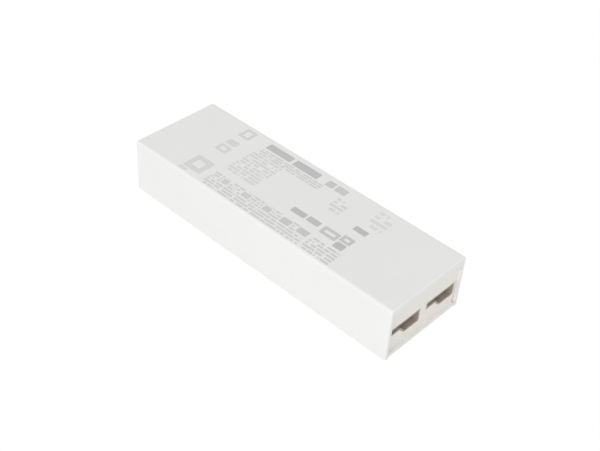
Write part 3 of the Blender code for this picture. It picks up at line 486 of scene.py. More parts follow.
@dataclass(frozen=True)
class Laminate(Finish):
    """Green solder mask over copper areas, with white outlines round the parts."""

    copper: Colour = (0.075, 0.260, 0.110)
    white: Colour = (0.78, 0.78, 0.74)
    pitch: float = 3.7 * MM
    gap: float = 0.5 * MM
    areas: int = 3
    weave: float = 0.2
    top: float = 0.0
    outlines: tuple[Print, ...] = ()

    def area(self, paint: Paint, along: float, across: float) -> Value:
        """Which of a few copper areas lies beside a place.

        Args:
            paint: The material's graph.
            along: How far to look along X.
            across: How far to look along Y.

        Returns:
            The area's number.
        """
        column, row = (paint.x + along) / self.pitch, (paint.y + across) / self.pitch
        return (paint.chance(column, row) * self.areas).whole()

    def bare(self, paint: Paint) -> Value:
        """Where no copper lies under the mask: the gaps between areas with square corners.

        Args:
            paint: The material's graph.

        Returns:
            One in a gap, else zero.
        """
        half = self.gap / 2
        along = abs(self.area(paint, half, 0.0) - self.area(paint, -half, 0.0))
        across = abs(self.area(paint, 0.0, half) - self.area(paint, 0.0, -half))
        return along.most(across) > 0.0

    def tint(self, paint: Paint) -> Value:
        """The mask's colour, lighter over copper, with the outlines on it.

        Args:
            paint: The material's graph.

        Returns:
            The colour.
        """
        masked = paint.blend(self.bare(paint), self.copper, super().tint(paint))
        ink = self.outlines[0].cover(paint)
        for outline in self.outlines[1:]:
            ink = ink.most(outline.cover(paint))
        return paint.blend(ink * (paint.z > self.top - SKIN), masked, self.white)

    def height(self, paint: Paint) -> Value:
        """The relief of the board's weave and of the copper under the mask.

        Args:
            paint: The material's graph.

        Returns:
            The relief, from zero to one.
        """
        return super().height(paint) * self.weave - self.bare(paint) * (1 - self.weave)


@dataclass(frozen=True)
class Banded(Finish):
    """A part's coat with bands of another colour across its length."""

    node: str = ""
    axis: int = 0
    bands: tuple[tuple[float, float, Colour], ...] = ()

    def tint(self, paint: Paint) -> Value:
        """The coat's colour with its bands, each between two shares of the part's length.

        Args:
            paint: The material's graph.

        Returns:
            The colour.
        """
        low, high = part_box(self.node)
        length = high[self.axis] - low[self.axis]
        share = ((paint.x, paint.y, paint.z)[self.axis] - low[self.axis]) / length
        tint = super().tint(paint)
        for start, end, colour in self.bands:
            tint = paint.blend((share > start) * (share < end), tint, colour)
        return tint


@dataclass(frozen=True)
class Brushed(Finish):
    """Drawn or ground metal, with fine lines along one axis."""

    stretch: tuple[float, float, float] = (12.0, 1.0, 1.0)

    def height(self, paint: Paint) -> Value:
        """Fine parallel lines.

        Args:
            paint: The material's graph.

        Returns:
            The relief, from zero to one.
        """
        scale = tuple(1 / (self.grain * share) for share in self.stretch)
        place = paint.value("ShaderNodeMapping", inputs={"Vector": paint.place, "Scale": scale})
        return paint.value("ShaderNodeTexNoise", inputs={"Vector": place, "Scale": 1.0, "Detail": 2.0})


class Form:
    """A mesh under construction, with its place in its points."""

    def __init__(self, shape: bmesh.types.BMesh) -> None:
        """Takes over a bmesh.

        Args:
            shape: Closed shells, in metres in the part's frame.
        """
        bmesh.ops.remove_doubles(shape, verts=shape.verts, dist=WELD)
        bmesh.ops.recalc_face_normals(shape, faces=shape.faces)
        mesh = bpy.data.meshes.new("form")
        shape.to_mesh(mesh)
        shape.free()
        self.obj = new_object("form", mesh)

    @classmethod
    def prisms(cls, parts: list[tuple[list[Point], str, float, float]]) -> "Form":
        """Outlines extruded along an axis.

        Args:
            parts: For each, the outline, the axis, the start and the end.

        Returns:
            The form.
        """
        shape = bmesh.new()
        for outline, axis, low, high in parts:
            base = [shape.verts.new(on_axis(axis, point, low)) for point in outline]
            grown = bmesh.ops.extrude_face_region(shape, geom=[shape.faces.new(base)])["geom"]
            moved = [item for item in grown if isinstance(item, bmesh.types.BMVert)]
            bmesh.ops.translate(shape, verts=moved, vec=on_axis(axis, (0.0, 0.0), high - low))
        return cls(shape)

    @classmethod
    def loft(cls, sections: list[tuple[float, list[Point]]]) -> "Form":
        """A skin over outlines in (y, z) at places along X, capped at both ends.

        Args:
            sections: For each, its place along X and its outline.

        Returns:
            The form.
        """
        shape = bmesh.new()
        rings = [[shape.verts.new((along, *point)) for point in outline] for along, outline in sections]
        for ring, following in zip(rings, rings[1:]):
            for i, vert in enumerate(ring):
                j = (i + 1) % len(ring)
                shape.faces.new((vert, ring[j], following[j], following[i]))
        shape.faces.new(rings[0])
        shape.faces.new(reversed(rings[-1]))
        return cls(shape)

    @classmethod
    def turned(cls, profile: list[Point], sides: int) -> "Form":
        """A round form about Z, capped at both ends.

        Args:
            profile: Its (radius, height) points.
            sides: How many faces go round.

        Returns:
            The form, at the origin.
        """
        shape = bmesh.new()
        verts = [shape.verts.new((radius, 0.0, height)) for radius, height in profile]
        edges = [shape.edges.new(pair) for pair in zip(verts, verts[1:])]
        spun = {"cent": (0, 0, 0), "axis": (0, 0, 1), "angle": math.tau, "steps": sides, "use_merge": True}
        bmesh.ops.spin(shape, geom=verts + edges, **spun)
        bmesh.ops.holes_fill(shape, edges=[edge for edge in shape.edges if edge.is_boundary])
        return cls(shape)

    @classmethod
    def tube(cls, path: list[Vector], radius: float, sides: int) -> "Form":
        """A round bar along a path, with caps.

        Args:
            path: The points of its middle line.
            radius: Its radius.
            sides: How many faces go round.

        Returns:
            The form.
        """
        curve = bpy.data.curves.new("path", "CURVE")
        curve.dimensions = "3D"
        curve.bevel_depth = radius
        curve.bevel_resolution = sides // 4 - 1
        curve.use_fill_caps = True
        spline = curve.splines.new("POLY")
        spline.points.add(len(path) - 1)
        for point, place in zip(spline.points, path):
            point.co = (*place, 1.0)
        guide = new_object("path", curve)
        shape = bmesh.new()
        shape.from_mesh(evaluated_mesh(guide))
        bpy.data.objects.remove(guide, do_unlink=True)
        return cls(shape)

    @classmethod
    def from_object(cls, obj: bpy.types.Object) -> "Form":
        """Takes over an object's mesh.

        Args:
            obj: The object, which is removed.

        Returns:
            The form.
        """
        shape = bmesh.new()
        shape.from_mesh(obj.data)
        bpy.data.objects.remove(obj, do_unlink=True)
        return cls(shape)

    def moved(self, matrix: Matrix) -> "Form":
        """Moves the points.

        Args:
            matrix: The move, with no mirroring.

        Returns:
            This form.
        """
        self.obj.data.transform(matrix)
        return self

    def join(self, *others: "Form") -> "Form":
        """Adds other forms."""
        return self._combined("UNION", others)

    def cut(self, *others: "Form") -> "Form":
        """Takes other forms away."""
        return self._combined("DIFFERENCE", others)

    def _combined(self, operation: str, others: tuple["Form", ...]) -> "Form":
        """Runs a Boolean with each of the other forms.

        Args:
            operation: What the Boolean does.
            others: The forms that it uses up.

        Returns:
            This form.
        """
        for other in others:
            modifier = self.obj.modifiers.new("combine", "BOOLEAN")
            modifier.operation = operation
            modifier.solver = "EXACT"
            modifier.object = other.obj
        self._bake()
        for other in others:
            bpy.data.objects.remove(other.obj, do_unlink=True)
        return self

    def ease(self, width: float, segments: int = 2) -> "Form":
        """Rounds the sharp edges.

        Args:
            width: How far the rounding reaches.
            segments: How many faces it has.

        Returns:
            This form.
        """
        modifier = self.obj.modifiers.new("ease", "BEVEL")
        modifier.width = width
        modifier.segments = segments
        modifier.limit_method = "ANGLE"
        modifier.angle_limit = SMOOTH_ANGLE
        self._bake()
        return self

    def piece(
        self, name: str, material: bpy.types.Material, slot: str, replaced: list[str]
    ) -> bpy.types.Object:
        """Ends the form as a piece of the driver.

        Args:
            name: The piece's name.
            material: Its finish.
            slot: The record's slot that the finish stands for; not used.
            replaced: The nodes that it stands for.

        Returns:
            The piece.
        """
        mesh = self.obj.data
        mesh.shade_smooth()
        mesh.set_sharp_from_angle(angle=SMOOTH_ANGLE)
        modifier = self.obj.modifiers.new("flat faces", "WEIGHTED_NORMAL")
        modifier.keep_sharp = True
        self._bake()
        self.obj.name = name
        self.obj.data.name = name
        self.obj.data.materials.clear()
        self.obj.data.materials.append(material)
        return settle(self.obj, replaced)

    def _bake(self) -> None:
        """Turns the modifiers' result into the mesh."""
        mesh = evaluated_mesh(self.obj)
        self.obj.modifiers.clear()
        old, self.obj.data = self.obj.data, mesh
        bpy.data.meshes.remove(old)


def new_object(name: str, data: bpy.types.ID) -> bpy.types.Object:
    """An object in the scene that shows a mesh, a curve, a camera or a lamp.

    Args:
        name: The object's name.
        data: What it shows.

    Returns:
        The object.
    """
    obj = bpy.data.objects.new(name, data)
    bpy.context.scene.collection.objects.link(obj)
    return obj


def evaluated_mesh(obj: bpy.types.Object) -> bpy.types.Mesh:
    """A plain mesh of what an object looks like after its modifiers.

    Args:
        obj: The object.

    Returns:
        The mesh.
    """
    graph = bpy.context.evaluated_depsgraph_get()
    shown = obj.evaluated_get(graph)
    return bpy.data.meshes.new_from_object(shown, preserve_all_data_layers=True, depsgraph=graph)


def settle(obj: bpy.types.Object, replaced: list[str]) -> bpy.types.Object:
    """Makes an object ride on the part and reports it.

    Args:
        obj: The finished piece.
        replaced: The nodes that it stands for.

    Returns:
        The piece.
    """
    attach(obj, "root")
    if replaced:
        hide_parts(*replaced)
    stands_for = ", ".join(replaced) or "nothing"
    LOG.info("%s: %d faces, in place of %s", obj.name, len(obj.data.polygons), stands_for)
    return obj


def on_axis(axis: str, point: Point, along: float) -> Vector:
    """A point of an outline that is drawn across an axis.

    Args:
        axis: X takes (y, z), Y takes (x, z) and Z takes (x, y).
        point: The point of the outline.
        along: Its place along the axis.

    Returns:
        The point in space.
    """
    across, up = point
    return Vector({"X": (along, across, up), "Y": (across, along, up), "Z": (across, up, along)}[axis])


def rectangle(low: Point, high: Point) -> list[Point]:
    """The corners of a rectangle between two points of its plane."""
    return [(low[0], low[1]), (high[0], low[1]), (high[0], high[1]), (low[0], high[1])]


def arc(centre: Point, radius: float, start: float, end: float, steps: int = 8) -> list[Point]:
    """Points along an arc.

    Args:
        centre: Its centre.
        radius: Its radius.
        start: The first angle, in degrees.
        end: The last angle, in degrees.
        steps: How many chords it has.

    Returns:
        The points.
    """
    angles = [math.radians(start + (end - start) * i / steps) for i in range(steps + 1)]
    return [(centre[0] + radius * math.cos(a), centre[1] + radius * math.sin(a)) for a in angles]


def circle(centre: Point, radius: float, sides: int = 40) -> list[Point]:
    """The corners of a round outline."""
    return arc(centre, radius, 0, 360 - 360 / sides, sides - 1)


def rounded(corners: list[Point], radius: float, steps: int = 5) -> list[Point]:
    """An outline with each of its corners rounded.

    Args:
        corners: The corners in order.
        radius: The radius of each.
        steps: How many chords each has.

    Returns:
        The outline.
    """
    outline = []
    for i, corner in enumerate(corners):
        here, before, after = Vector(corner), Vector(corners[i - 1]), Vector(corners[(i + 1) % len(corners)])
        back, forth = (before - here).normalized(), (after - here).normalized()
        half = back.angle(forth) / 2
        centre = here + (back + forth).normalized() * radius / math.sin(half)
        start, end = (here + way * radius / math.tan(half) - centre for way in (back, forth))
        for j in range(steps + 1):
            outline.append(tuple(centre + start.slerp(end, j / steps).normalized() * radius))
    return outline


class Repeat(Graph):
    """A geometry tree that repeats or sweeps something, with named inputs."""

    def __init__(self, name: str, inputs: dict[str, tuple[str, object]]) -> None:
        """Starts a tree.

        Args:
            name: The tree's name.
            inputs: For each named input, its kind of socket and its default value.
        """
        super().__init__(bpy.data.node_groups.new(name, "GeometryNodeTree"))
        face = self.tree.interface
        face.new_socket("Geometry", in_out="INPUT", socket_type="NodeSocketGeometry")
        face.new_socket("Geometry", in_out="OUTPUT", socket_type="NodeSocketGeometry")
        self.keys = {}
        for label, (kind, default) in inputs.items():
            socket = face.new_socket(label, in_out="INPUT", socket_type=f"NodeSocket{kind}")
            if default is not None:
                socket.default_value = default
            self.keys[label] = socket.identifier
        self.given = self.node("NodeGroupInput")

    def input(self, label: str) -> Value:
        """One of the tree's inputs."""
        return Value(self, self.given.outputs[label])

    def end(self, geometry: Value) -> "Repeat":
        """Ends the tree: instances made real, the finish set.

        Args:
            geometry: What the tree has made.

        Returns:
            This tree.
        """
        real = self.value("GeometryNodeRealizeInstances", inputs={0: geometry})
        dressed = self.value("GeometryNodeSetMaterial", inputs={0: real, "Material": self.input("Finish")})
        self.node("NodeGroupOutput", inputs={0: dressed})
        return self

    def run(self, name: str, points: list[Vector], values: dict[str, object]) -> bpy.types.Object:
        """Runs the tree over some points.

        Args:
            name: The name of the object that it makes.
            points: The points that it starts from.
            values: A value for each named input.

        Returns:
            An object with a plain mesh.
        """
        mesh = bpy.data.meshes.new(name)
        mesh.from_pydata([tuple(point) for point in points], [], [])
        obj = new_object(name, mesh)
        modifier = obj.modifiers.new("repeat", "NODES")
        modifier.node_group = self.tree
        for label, value in values.items():
            modifier[self.keys[label]] = value
        made = evaluated_mesh(obj)
        obj.modifiers.clear()
        obj.data = made
        bpy.data.meshes.remove(mesh)
        made.name = name
        return obj


class CopyTree(Repeat):
    """Puts a copy of one object on each point, each with its own turn about Z."""

    def __init__(self) -> None:
        """Writes the tree."""
        inputs = {"Part": ("Object", None), "Turn": ("Float", 0.0), "Seed": ("Int", 0)}
        super().__init__("copies", inputs | {"Finish": ("Material", None)})
        part = self.value("GeometryNodeObjectInfo", inputs={"Object": self.input("Part")}, output="Geometry")
        turn = self.value(
            "FunctionNodeRandomValue",
            {"data_type": "FLOAT"},
            {2: 0.0, 3: self.input("Turn"), "Seed": self.input("Seed")},
            1,
        )
        turned = self.value("ShaderNodeCombineXYZ", inputs={"Z": turn})
        copies = self.value(
            "GeometryNodeInstanceOnPoints",
            inputs={"Points": self.input("Geometry"), "Instance": part, "Rotation": turned},
        )
        self.end(copies)

    def pieces(
        self, name: str, part: Form, places: list[Vector], finish: bpy.types.Material, turn: float = 0.0
    ) -> bpy.types.Object:
        """Copies a form to several places.

        Args:
            name: The name of the object that it makes.
            part: The form to copy, which is used up.
            places: Where the copies go.
            finish: Their material.
            turn: The most that a copy is turned, in radians.

        Returns:
            The object.
        """
        part.obj.data.shade_smooth()
        part.obj.data.set_sharp_from_angle(angle=SMOOTH_ANGLE)
        values = {"Part": part.obj, "Turn": turn, "Seed": SEED, "Finish": finish}
        made = self.run(name, places, values)
        bpy.data.objects.remove(part.obj, do_unlink=True)
        return made


class CoilTree(Repeat):
    """Winds a round wire round a ring about Z, or straight along Y, in square or round loops."""

    def __init__(self) -> None:
        """Writes the tree."""
        sizes = ("Turns", "Half Width", "Half Height", "Ring Radius", "Arc", "Start", "Travel")
        inputs = {label: ("Float", 0.0) for label in sizes + ("Squareness", "Wire")}
        inputs |= {"Samples": ("Int", 200), "Sides": ("Int", 8), "Finish": ("Material", None)}
        super().__init__("coil", inputs)
        line = self.value("GeometryNodeCurvePrimitiveLine")
        counted = {"Curve": line, "Count": self.input("Samples")}
        fine = self.value("GeometryNodeResampleCurve", {"mode": "COUNT"}, counted)
        along = self.value("GeometryNodeSplineParameter", output="Factor")
        turn = along * self.input("Turns") * math.tau
        out = self.squared(turn.cosine()) * self.input("Half Width")
        up = self.squared(turn.sine()) * self.input("Half Height")
        angle = along * self.input("Arc") + self.input("Start")
        reach = self.input("Ring Radius") + out
        place = self.value(
            "ShaderNodeCombineXYZ",
            inputs={
                "X": reach * angle.cosine(),
                "Y": reach * angle.sine() + (along - 0.5) * self.input("Travel"),
                "Z": up,
            },
        )
        coil = self.value("GeometryNodeSetPosition", inputs={"Geometry": fine, "Position": place})
        profile = self.value(
            "GeometryNodeCurvePrimitiveCircle",
            inputs={"Resolution": self.input("Sides"), "Radius": self.input("Wire") * 0.5},
        )
        wire = self.value(
            "GeometryNodeCurveToMesh", inputs={"Curve": coil, "Profile Curve": profile, "Fill Caps": True}
        )
        self.end(self.value("GeometryNodeSetShadeSmooth", inputs={0: wire}))

    def squared(self, wave: Value) -> Value:
        """A wave whose crests are flattened, so that the loop it draws is more of a rectangle."""
        return wave.sign() * abs(wave) ** self.input("Squareness")


@dataclass
class Housing:
    """The cover and the tray."""

    finish: bpy.types.Material
    side_wall: float = 1.6 * MM
    roof: float = 1.8 * MM
    floor: float = 1.6 * MM
    end_wall: float = 1.6 * MM
    recess: float = 1.2 * MM
    brow: float = 3.6 * MM
    edge_radius: float = 1.2 * MM
    rim_radius: float = 0.7 * MM
    inner_radius: float = 0.8 * MM
    board_gap: float = 0.3 * MM
    seam: float = 0.06 * MM
    ease: float = 0.12 * MM
    rib_pitch: float = 18 * MM
    rib_thickness: float = 1.0 * MM
    rib_depth: float = 0.9 * MM
    rib_count: int = 6
    tray_side: float = 5.2 * MM
    tray_wall: float = 1.2 * MM
    ledge_width: float = 1.1 * MM
    post_radius: float = 3.0 * MM
    boss_radius: float = 3.7 * MM
    bore_radius: float = 1.5 * MM
    bore_top: float = 12.2 * MM
    bore_foot: float = 1.9 * MM
    sink_radius: float = 2.6 * MM
    sink_depth: float = 2.2 * MM
    lap: float = 0.5 * MM
    reach: float = 1.0 * MM
    steps: int = 10

    def __post_init__(self) -> None:
        """Reads the sizes that the frame holds."""
        low, high = CAD_BOX
        self.half_length, self.half_width, self.height = high.x, high.y, high.z
        self.cavity = self.half_width - self.side_wall
        self.roof_under = self.height - self.roof
        self.face = self.half_length - self.recess
        self.back = self.face - self.end_wall
        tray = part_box("base_tray")[1]
        self.tray_half, self.near_seam = tray.y, tray.z
        inlet_low, inlet_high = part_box("mains_inlet")
        self.far_seam = (inlet_low.z + inlet_high.z) / 2
        board_low, board_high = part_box("circuit_board")
        self.shelf, self.seat = board_low.z - self.board_gap, board_high.z + self.board_gap

    def channel(self, inset: float) -> list[Point]:
        """The cover's section in (y, z).

        Args:
            inset: How far its outside is drawn in; its inside stays.

        Returns:
            The outline.
        """
        radius = self.edge_radius - inset
        side, top = self.half_width - self.edge_radius, self.height - self.edge_radius
        outer = [(side + radius, 0.0)] + arc((side, top), radius, 0, 90, self.steps)
        outer += arc((-side, top), radius, 90, 180, self.steps) + [(-side - radius, 0.0)]
        side, top = self.cavity - self.inner_radius, self.roof_under - self.inner_radius
        inner = [(-self.cavity, 0.0)] + arc((-side, top), self.inner_radius, 180, 90)
        return outer + inner + arc((side, top), self.inner_radius, 90, 0) + [(self.cavity, 0.0)]

    def shell(self) -> Form:
        """The cover's roof and long sides, rounded along the edges and round both rims.

        Returns:
            The form.
        """
        sections = []
        for i in range(self.steps + 1):
            angle = math.pi / 2 * i / self.steps
            along = self.half_length - self.rim_radius * (1 - math.cos(angle))
            sections.append((along, self.channel(self.rim_radius * (1 - math.sin(angle)))))
        sections += [(-along, section) for along, section in reversed(sections)]
        return Form.loft(sections)

    def openings(self, sockets: "OutputSockets", inlet: "MainsInlet") -> Form:
        """Cutters as wide as the noses in both end walls.

        Args:
            sockets: The output sockets.
            inlet: The mains inlet.

        Returns:
            The cutters.
        """
        inside, outside = self.back - self.reach, self.half_length + self.reach
        near = [(nose, "X", inside, outside) for nose in sockets.noses(self.seam)]
        far = [(nose, "X", -outside, -inside) for nose in inlet.noses(self.seam)]
        return Form.prisms(near + far)

    def ribs(self, copies: CopyTree) -> Form:
        """Upright ribs at an even pitch inside both long sides.

        Args:
            copies: The tree that copies them.

        Returns:
            The form.
        """
        half = (self.rib_depth + self.lap) / 2
        middle = self.cavity - self.rib_depth + half
        outline = rectangle((-self.rib_thickness / 2, -half), (self.rib_thickness / 2, half))
        rib = Form.prisms([(outline, "Z", self.seat, self.roof_under + self.lap)])
        first = -(self.rib_count - 1) / 2
        stations = [(first + i) * self.rib_pitch for i in range(self.rib_count)]
        places = [Vector((along, side * middle, 0.0)) for along in stations for side in (-1, 1)]
        return Form.from_object(copies.pieces("ribs", rib, places, self.finish))

    def rounds(self, radius: float, low: float, high: float) -> Form:
        """Upright round bars on the lines of the four screws.

        Args:
            radius: Their radius.
            low: The height of their feet.
            high: The height of their tops.

        Returns:
            The form.
        """
        return Form.prisms([(circle(place.xy, radius), "Z", low, high) for place in screw_places()])

    def cover(self, sockets: "OutputSockets", inlet: "MainsInlet", copies: CopyTree) -> bpy.types.Object:
        """The cover, with the upper halves of its end walls, the brows over them, its ribs and screw posts.

        Args:
            sockets: The output sockets.
            inlet: The mains inlet.
            copies: The tree that copies the ribs.

        Returns:
            The piece.
        """
        side, roof = self.cavity + self.lap, self.roof_under + self.lap
        near = (rectangle((-side, self.near_seam + self.seam), (side, roof)), "X", self.back, self.face)
        far = (rectangle((-side, self.far_seam + self.seam), (side, roof)), "X", -self.face, -self.back)
        brow = rectangle((-side, self.height - self.brow), (side, roof))
        brows = [(brow, "X", self.back, self.half_length), (brow, "X", -self.half_length, -self.back)]
        posts = self.rounds(self.post_radius, self.seat, roof)
        form = self.shell().join(Form.prisms([near, far]), Form.prisms(brows), posts, self.ribs(copies))
        bores = self.rounds(self.bore_radius, self.seat - self.reach, self.bore_top)
        form.cut(self.openings(sockets, inlet), bores).ease(self.ease)
        return form.piece("cover_moulding", self.finish, "white_plastic", ["top_cover"])

    def tray_section(self, half: float) -> list[Point]:
        """The tray's section in (y, z): its floor, its ledges for the board and its low sides.

        Args:
            half: Half its width.

        Returns:
            The outline.
        """
        inner = self.tray_half - self.tray_wall
        ledge = inner - self.ledge_width
        right = [(half, 0.0), (half, self.tray_side), (inner, self.tray_side)]
        right += [(inner, self.shelf), (ledge, self.shelf), (ledge, self.floor)]
        return right + [(-across, up) for across, up in reversed(right)]

    def lips(self, half: float) -> Form:
        """The sills below both end walls, rounded as the cover's rims are.

        Args:
            half: Half their width.

        Returns:
            The form.
        """
        centre = (self.half_length - self.rim_radius, self.rim_radius)
        lip = [(self.back, self.floor), (self.back, 0.0)] + arc(centre, self.rim_radius, -90, 0)
        lip.append((self.half_length, self.floor))
        mirrored = [(-along, up) for along, up in reversed(lip)]
        return Form.prisms([(lip, "Y", -half, half), (mirrored, "Y", -half, half)])

    def tray(self, sockets: "OutputSockets", inlet: "MainsInlet") -> bpy.types.Object:
        """The tray: floor, low sides, ledges, bosses and the lower halves of the end walls.

        Args:
            sockets: The output sockets.
            inlet: The mains inlet.

        Returns:
            The piece.
        """
        half, end = self.tray_half, self.back + self.lap
        form = Form.prisms([(self.tray_section(half), "X", -end, end)])
        near = (rectangle((-half, 0.0), (half, self.near_seam)), "X", self.back, self.face)
        far = (rectangle((-half, 0.0), (half, self.far_seam)), "X", -self.face, -self.back)
        bosses = self.rounds(self.boss_radius, self.floor - self.lap, self.shelf)
        form.join(Form.prisms([near, far]), self.lips(half), bosses)
        bores = self.rounds(self.bore_radius, self.bore_foot, self.shelf + self.reach)
        sinks = self.rounds(self.sink_radius, -self.reach, self.sink_depth)
        form.cut(self.openings(sockets, inlet), bores, sinks).ease(self.ease)
        return form.piece("tray_moulding", self.finish, "white_plastic", ["base_tray"])


@dataclass
class Screws:
    """The four screws that hold the cover to the tray."""

    finish: bpy.types.Material
    head_height: float = 1.5 * MM
    dome: float = 0.75
    dome_steps: int = 6
    dome_flat: float = 0.15
    shank: float = 1.0 * MM
    thread: float = 1.2 * MM
    thread_start: float = 0.6 * MM
    thread_end: float = 1.6 * MM
    pitch: float = 0.8 * MM
    tip: float = 0.25 * MM
    arm: float = 1.4 * MM
    arm_width: float = 0.7 * MM
    arm_depth: float = 0.9 * MM
    ease: float = 0.05 * MM
    sides: int = 32

    def profile(self, radius: float, length: float) -> list[Point]:
        """One screw's (radius, height) profile, head down.

        Args:
            radius: The head's radius.
            length: The whole length.

        Returns:
            The profile.
        """
        rise = self.head_height * self.dome
        angles = quarter(self.dome_steps, self.dome_flat)
        crown = [(radius * math.cos(a), rise * (1 - math.sin(a))) for a in angles]
        profile = list(reversed(crown)) + [(radius, self.head_height), (self.shank, self.head_height)]
        turns = int((length - self.head_height - self.thread_start - self.thread_end) / self.pitch)
        for i in range(turns):
            level = self.head_height + self.thread_start + i * self.pitch
            profile += [(self.shank, level), (self.thread, level + self.pitch / 2)]
        level = self.head_height + self.thread_start + turns * self.pitch
        return profile + [(self.shank, level), (self.tip, length)]

    def build(self, copies: CopyTree) -> bpy.types.Object:
        """The four screws, each with a domed head, a cross recess and a coarse thread.

        Args:
            copies: The tree that copies them.

        Returns:
            The piece.
        """
        low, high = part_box(screw_names()[0])
        form = Form.turned(self.profile((high.x - low.x) / 2, high.z - low.z), self.sides)
        arm, half = self.arm, self.arm_width / 2
        for reach in ((arm, half), (half, arm)):
            bar = rectangle((-reach[0], -reach[1]), reach)
            form.cut(Form.prisms([(bar, "Z", -self.arm_depth, self.arm_depth)]))
        form.ease(self.ease, 1)
        made = copies.pieces("housing_screws", form, screw_places(), self.finish, math.pi / 2)
        return settle(made, screw_names())


def screw_names() -> list[str]:
    """The nodes of the four screws."""
    return [f"housing_screw_{end}_{side}" for end in ("far", "near") for side in ("front", "back")]


def screw_places() -> list[Vector]:
    """The middles of the four screws' heads, from the frame."""
    boxes = [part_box(name) for name in screw_names()]
    return [Vector(((low.x + high.x) / 2, (low.y + high.y) / 2, low.z)) for low, high in boxes]


def quarter(steps: int, skip: float = 0.0) -> list[float]:
    """Angles from zero to a quarter turn.

    Args:
        steps: How many parts it is divided in.
        skip: The share that is left out at the end.

    Returns:
        The angles, in radians.
    """
    return [math.pi / 2 * (1 - skip) * i / steps for i in range(steps + 1)]


@dataclass
class BentPin:
    """A round pin with its tip at the origin, which runs back along -X and bends down."""

    radius: float
    reach: float
    drop: float
    bend: float = 1.6
    bend_steps: int = 8
    nib: float = 0.8
    nib_steps: int = 6
    nib_flat: float = 0.08
    lap: float = 0.2 * MM
    play: float = 0.999
    sides: int = 16

    def path(self) -> list[Vector]:
        """The middle line, from behind the tip to the foot.

        Returns:
            The points.
        """
        tail, bend = self.radius - self.reach, self.bend * self.radius
        path = [Vector((-self.radius * self.nib, 0, 0)), Vector((tail + bend, 0, 0))]
        for a in quarter(self.bend_steps)[1:]:
            path.append(Vector((tail + bend * (1 - math.sin(a)), 0, -bend * (1 - math.cos(a)))))
        return path + [Vector((tail, 0, self.radius - self.drop))]

    def build(self) -> Form:
        """The pin with its round tip.

        Returns:
            The form.
        """
        nib = self.radius * self.nib
        profile = [(self.radius, -self.lap)]
        for a in quarter(self.nib_steps, self.nib_flat):
            profile.append((self.radius * math.cos(a), nib * math.sin(a)))
        tip = Form.turned(profile, self.sides).moved(Matrix.Rotation(math.pi / 2, 4, "Y"))
        tip.moved(Matrix.Translation((-nib, 0, 0)))
        return Form.tube(self.path(), self.radius * self.play, self.sides).join(tip)


@dataclass(frozen=True)
class Jack:
    """The names of one moulded body's piece, of its node and of the nodes of its pins."""

    piece: str
    node: str
    pins: tuple[str, ...]


@dataclass
class Connector(ABC):
    """Moulded bodies whose noses fill openings of an end wall, each with a mouth and two bent pins."""

    finish: bpy.types.Material
    metal: bpy.types.Material
    slot: str = ""
    jacks: tuple[Jack, ...] = ()
    pins: str = ""
    faces_near: bool = True
    wall: float = 0.6 * MM
    depth: float = 10.5 * MM
    shoulder: float = 1.2 * MM
    nose: float = 1.9 * MM
    bore_radius: float = 0.9 * MM
    bore_sides: int = 24
    reach: float = 1.0 * MM
    ease: float = 0.12 * MM

    @abstractmethod
    def outline(self, centre: float, grow: float) -> list[Point]:
        """The nose's outline in (y, z).

        Args:
            centre: The body's middle across the housing.
            grow: How far the outline is grown on every side.

        Returns:
            The outline.
        """

    def centre(self, jack: Jack) -> float:
        """A body's middle across the housing."""
        low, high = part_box(jack.node)
        return (low.y + high.y) / 2

    def noses(self, grow: float) -> list[list[Point]]:
        """The outlines of all the noses, grown on every side."""
        return [self.outline(self.centre(jack), grow) for jack in self.jacks]

    def prism(self, outline: list[Point], *ends: float) -> Form:
        """An outline extruded along X between two places."""
        return Form.prisms([(outline, "X", min(ends), max(ends))])

    def bodies(self) -> None:
        """The moulded bodies."""
        for jack in self.jacks:
            self.body(jack)

    def body(self, jack: Jack) -> bpy.types.Object:
        """One moulded body: a nose flush with the wall, a block behind it, the mouth and the pins' bores.

        Args:
            jack: Which body.

        Returns:
            The piece.
        """
        low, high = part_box(jack.node)
        face, rear, way = (high.x, low.x, 1) if self.faces_near else (low.x, high.x, -1)
        centre, step = self.centre(jack), face - way * self.nose
        form = self.prism(self.outline(centre, 0.0), rear + way * self.shoulder, face)
        form.join(self.prism(rectangle((low.y, low.z), (high.y, high.z)), rear, step))
        mouth = self.outline(centre, -self.wall)
        form.cut(self.prism(mouth, face - way * self.depth, face + way * self.reach))
        bores = [circle(tip.yz, self.bore_radius, self.bore_sides) for tip in self.tips(jack)]
        ends = sorted((rear - way * self.reach, step))
        form.cut(Form.prisms([(bore, "X", *ends) for bore in bores]))
        return form.ease(self.ease).piece(jack.piece, self.finish, self.slot, [jack.node])

    def tips(self, jack: Jack) -> list[Vector]:
        """The tips of a body's pins, from the frame.

        Args:
            jack: Which body.

        Returns:
            The tips.
        """
        tips = []
        for low, high in map(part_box, jack.pins):
            end = high.x if self.faces_near else low.x
            tips.append(Vector((end, (low.y + high.y) / 2, high.z - (high.y - low.y) / 2)))
        return tips

    def contacts(self, copies: CopyTree) -> bpy.types.Object:
        """The pins, each with a round tip and a tail bent down through the board.

        Args:
            copies: The tree that copies them.

        Returns:
            The piece.
        """
        nodes = [pin for jack in self.jacks for pin in jack.pins]
        low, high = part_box(nodes[0])
        form = BentPin((high.y - low.y) / 2, high.x - low.x, high.z - low.z).build()
        if not self.faces_near:
            form.moved(Matrix.Rotation(math.pi, 4, "Z"))
        places = [tip for jack in self.jacks for tip in self.tips(jack)]
        return settle(copies.pieces(self.pins, form, places, self.metal), nodes)


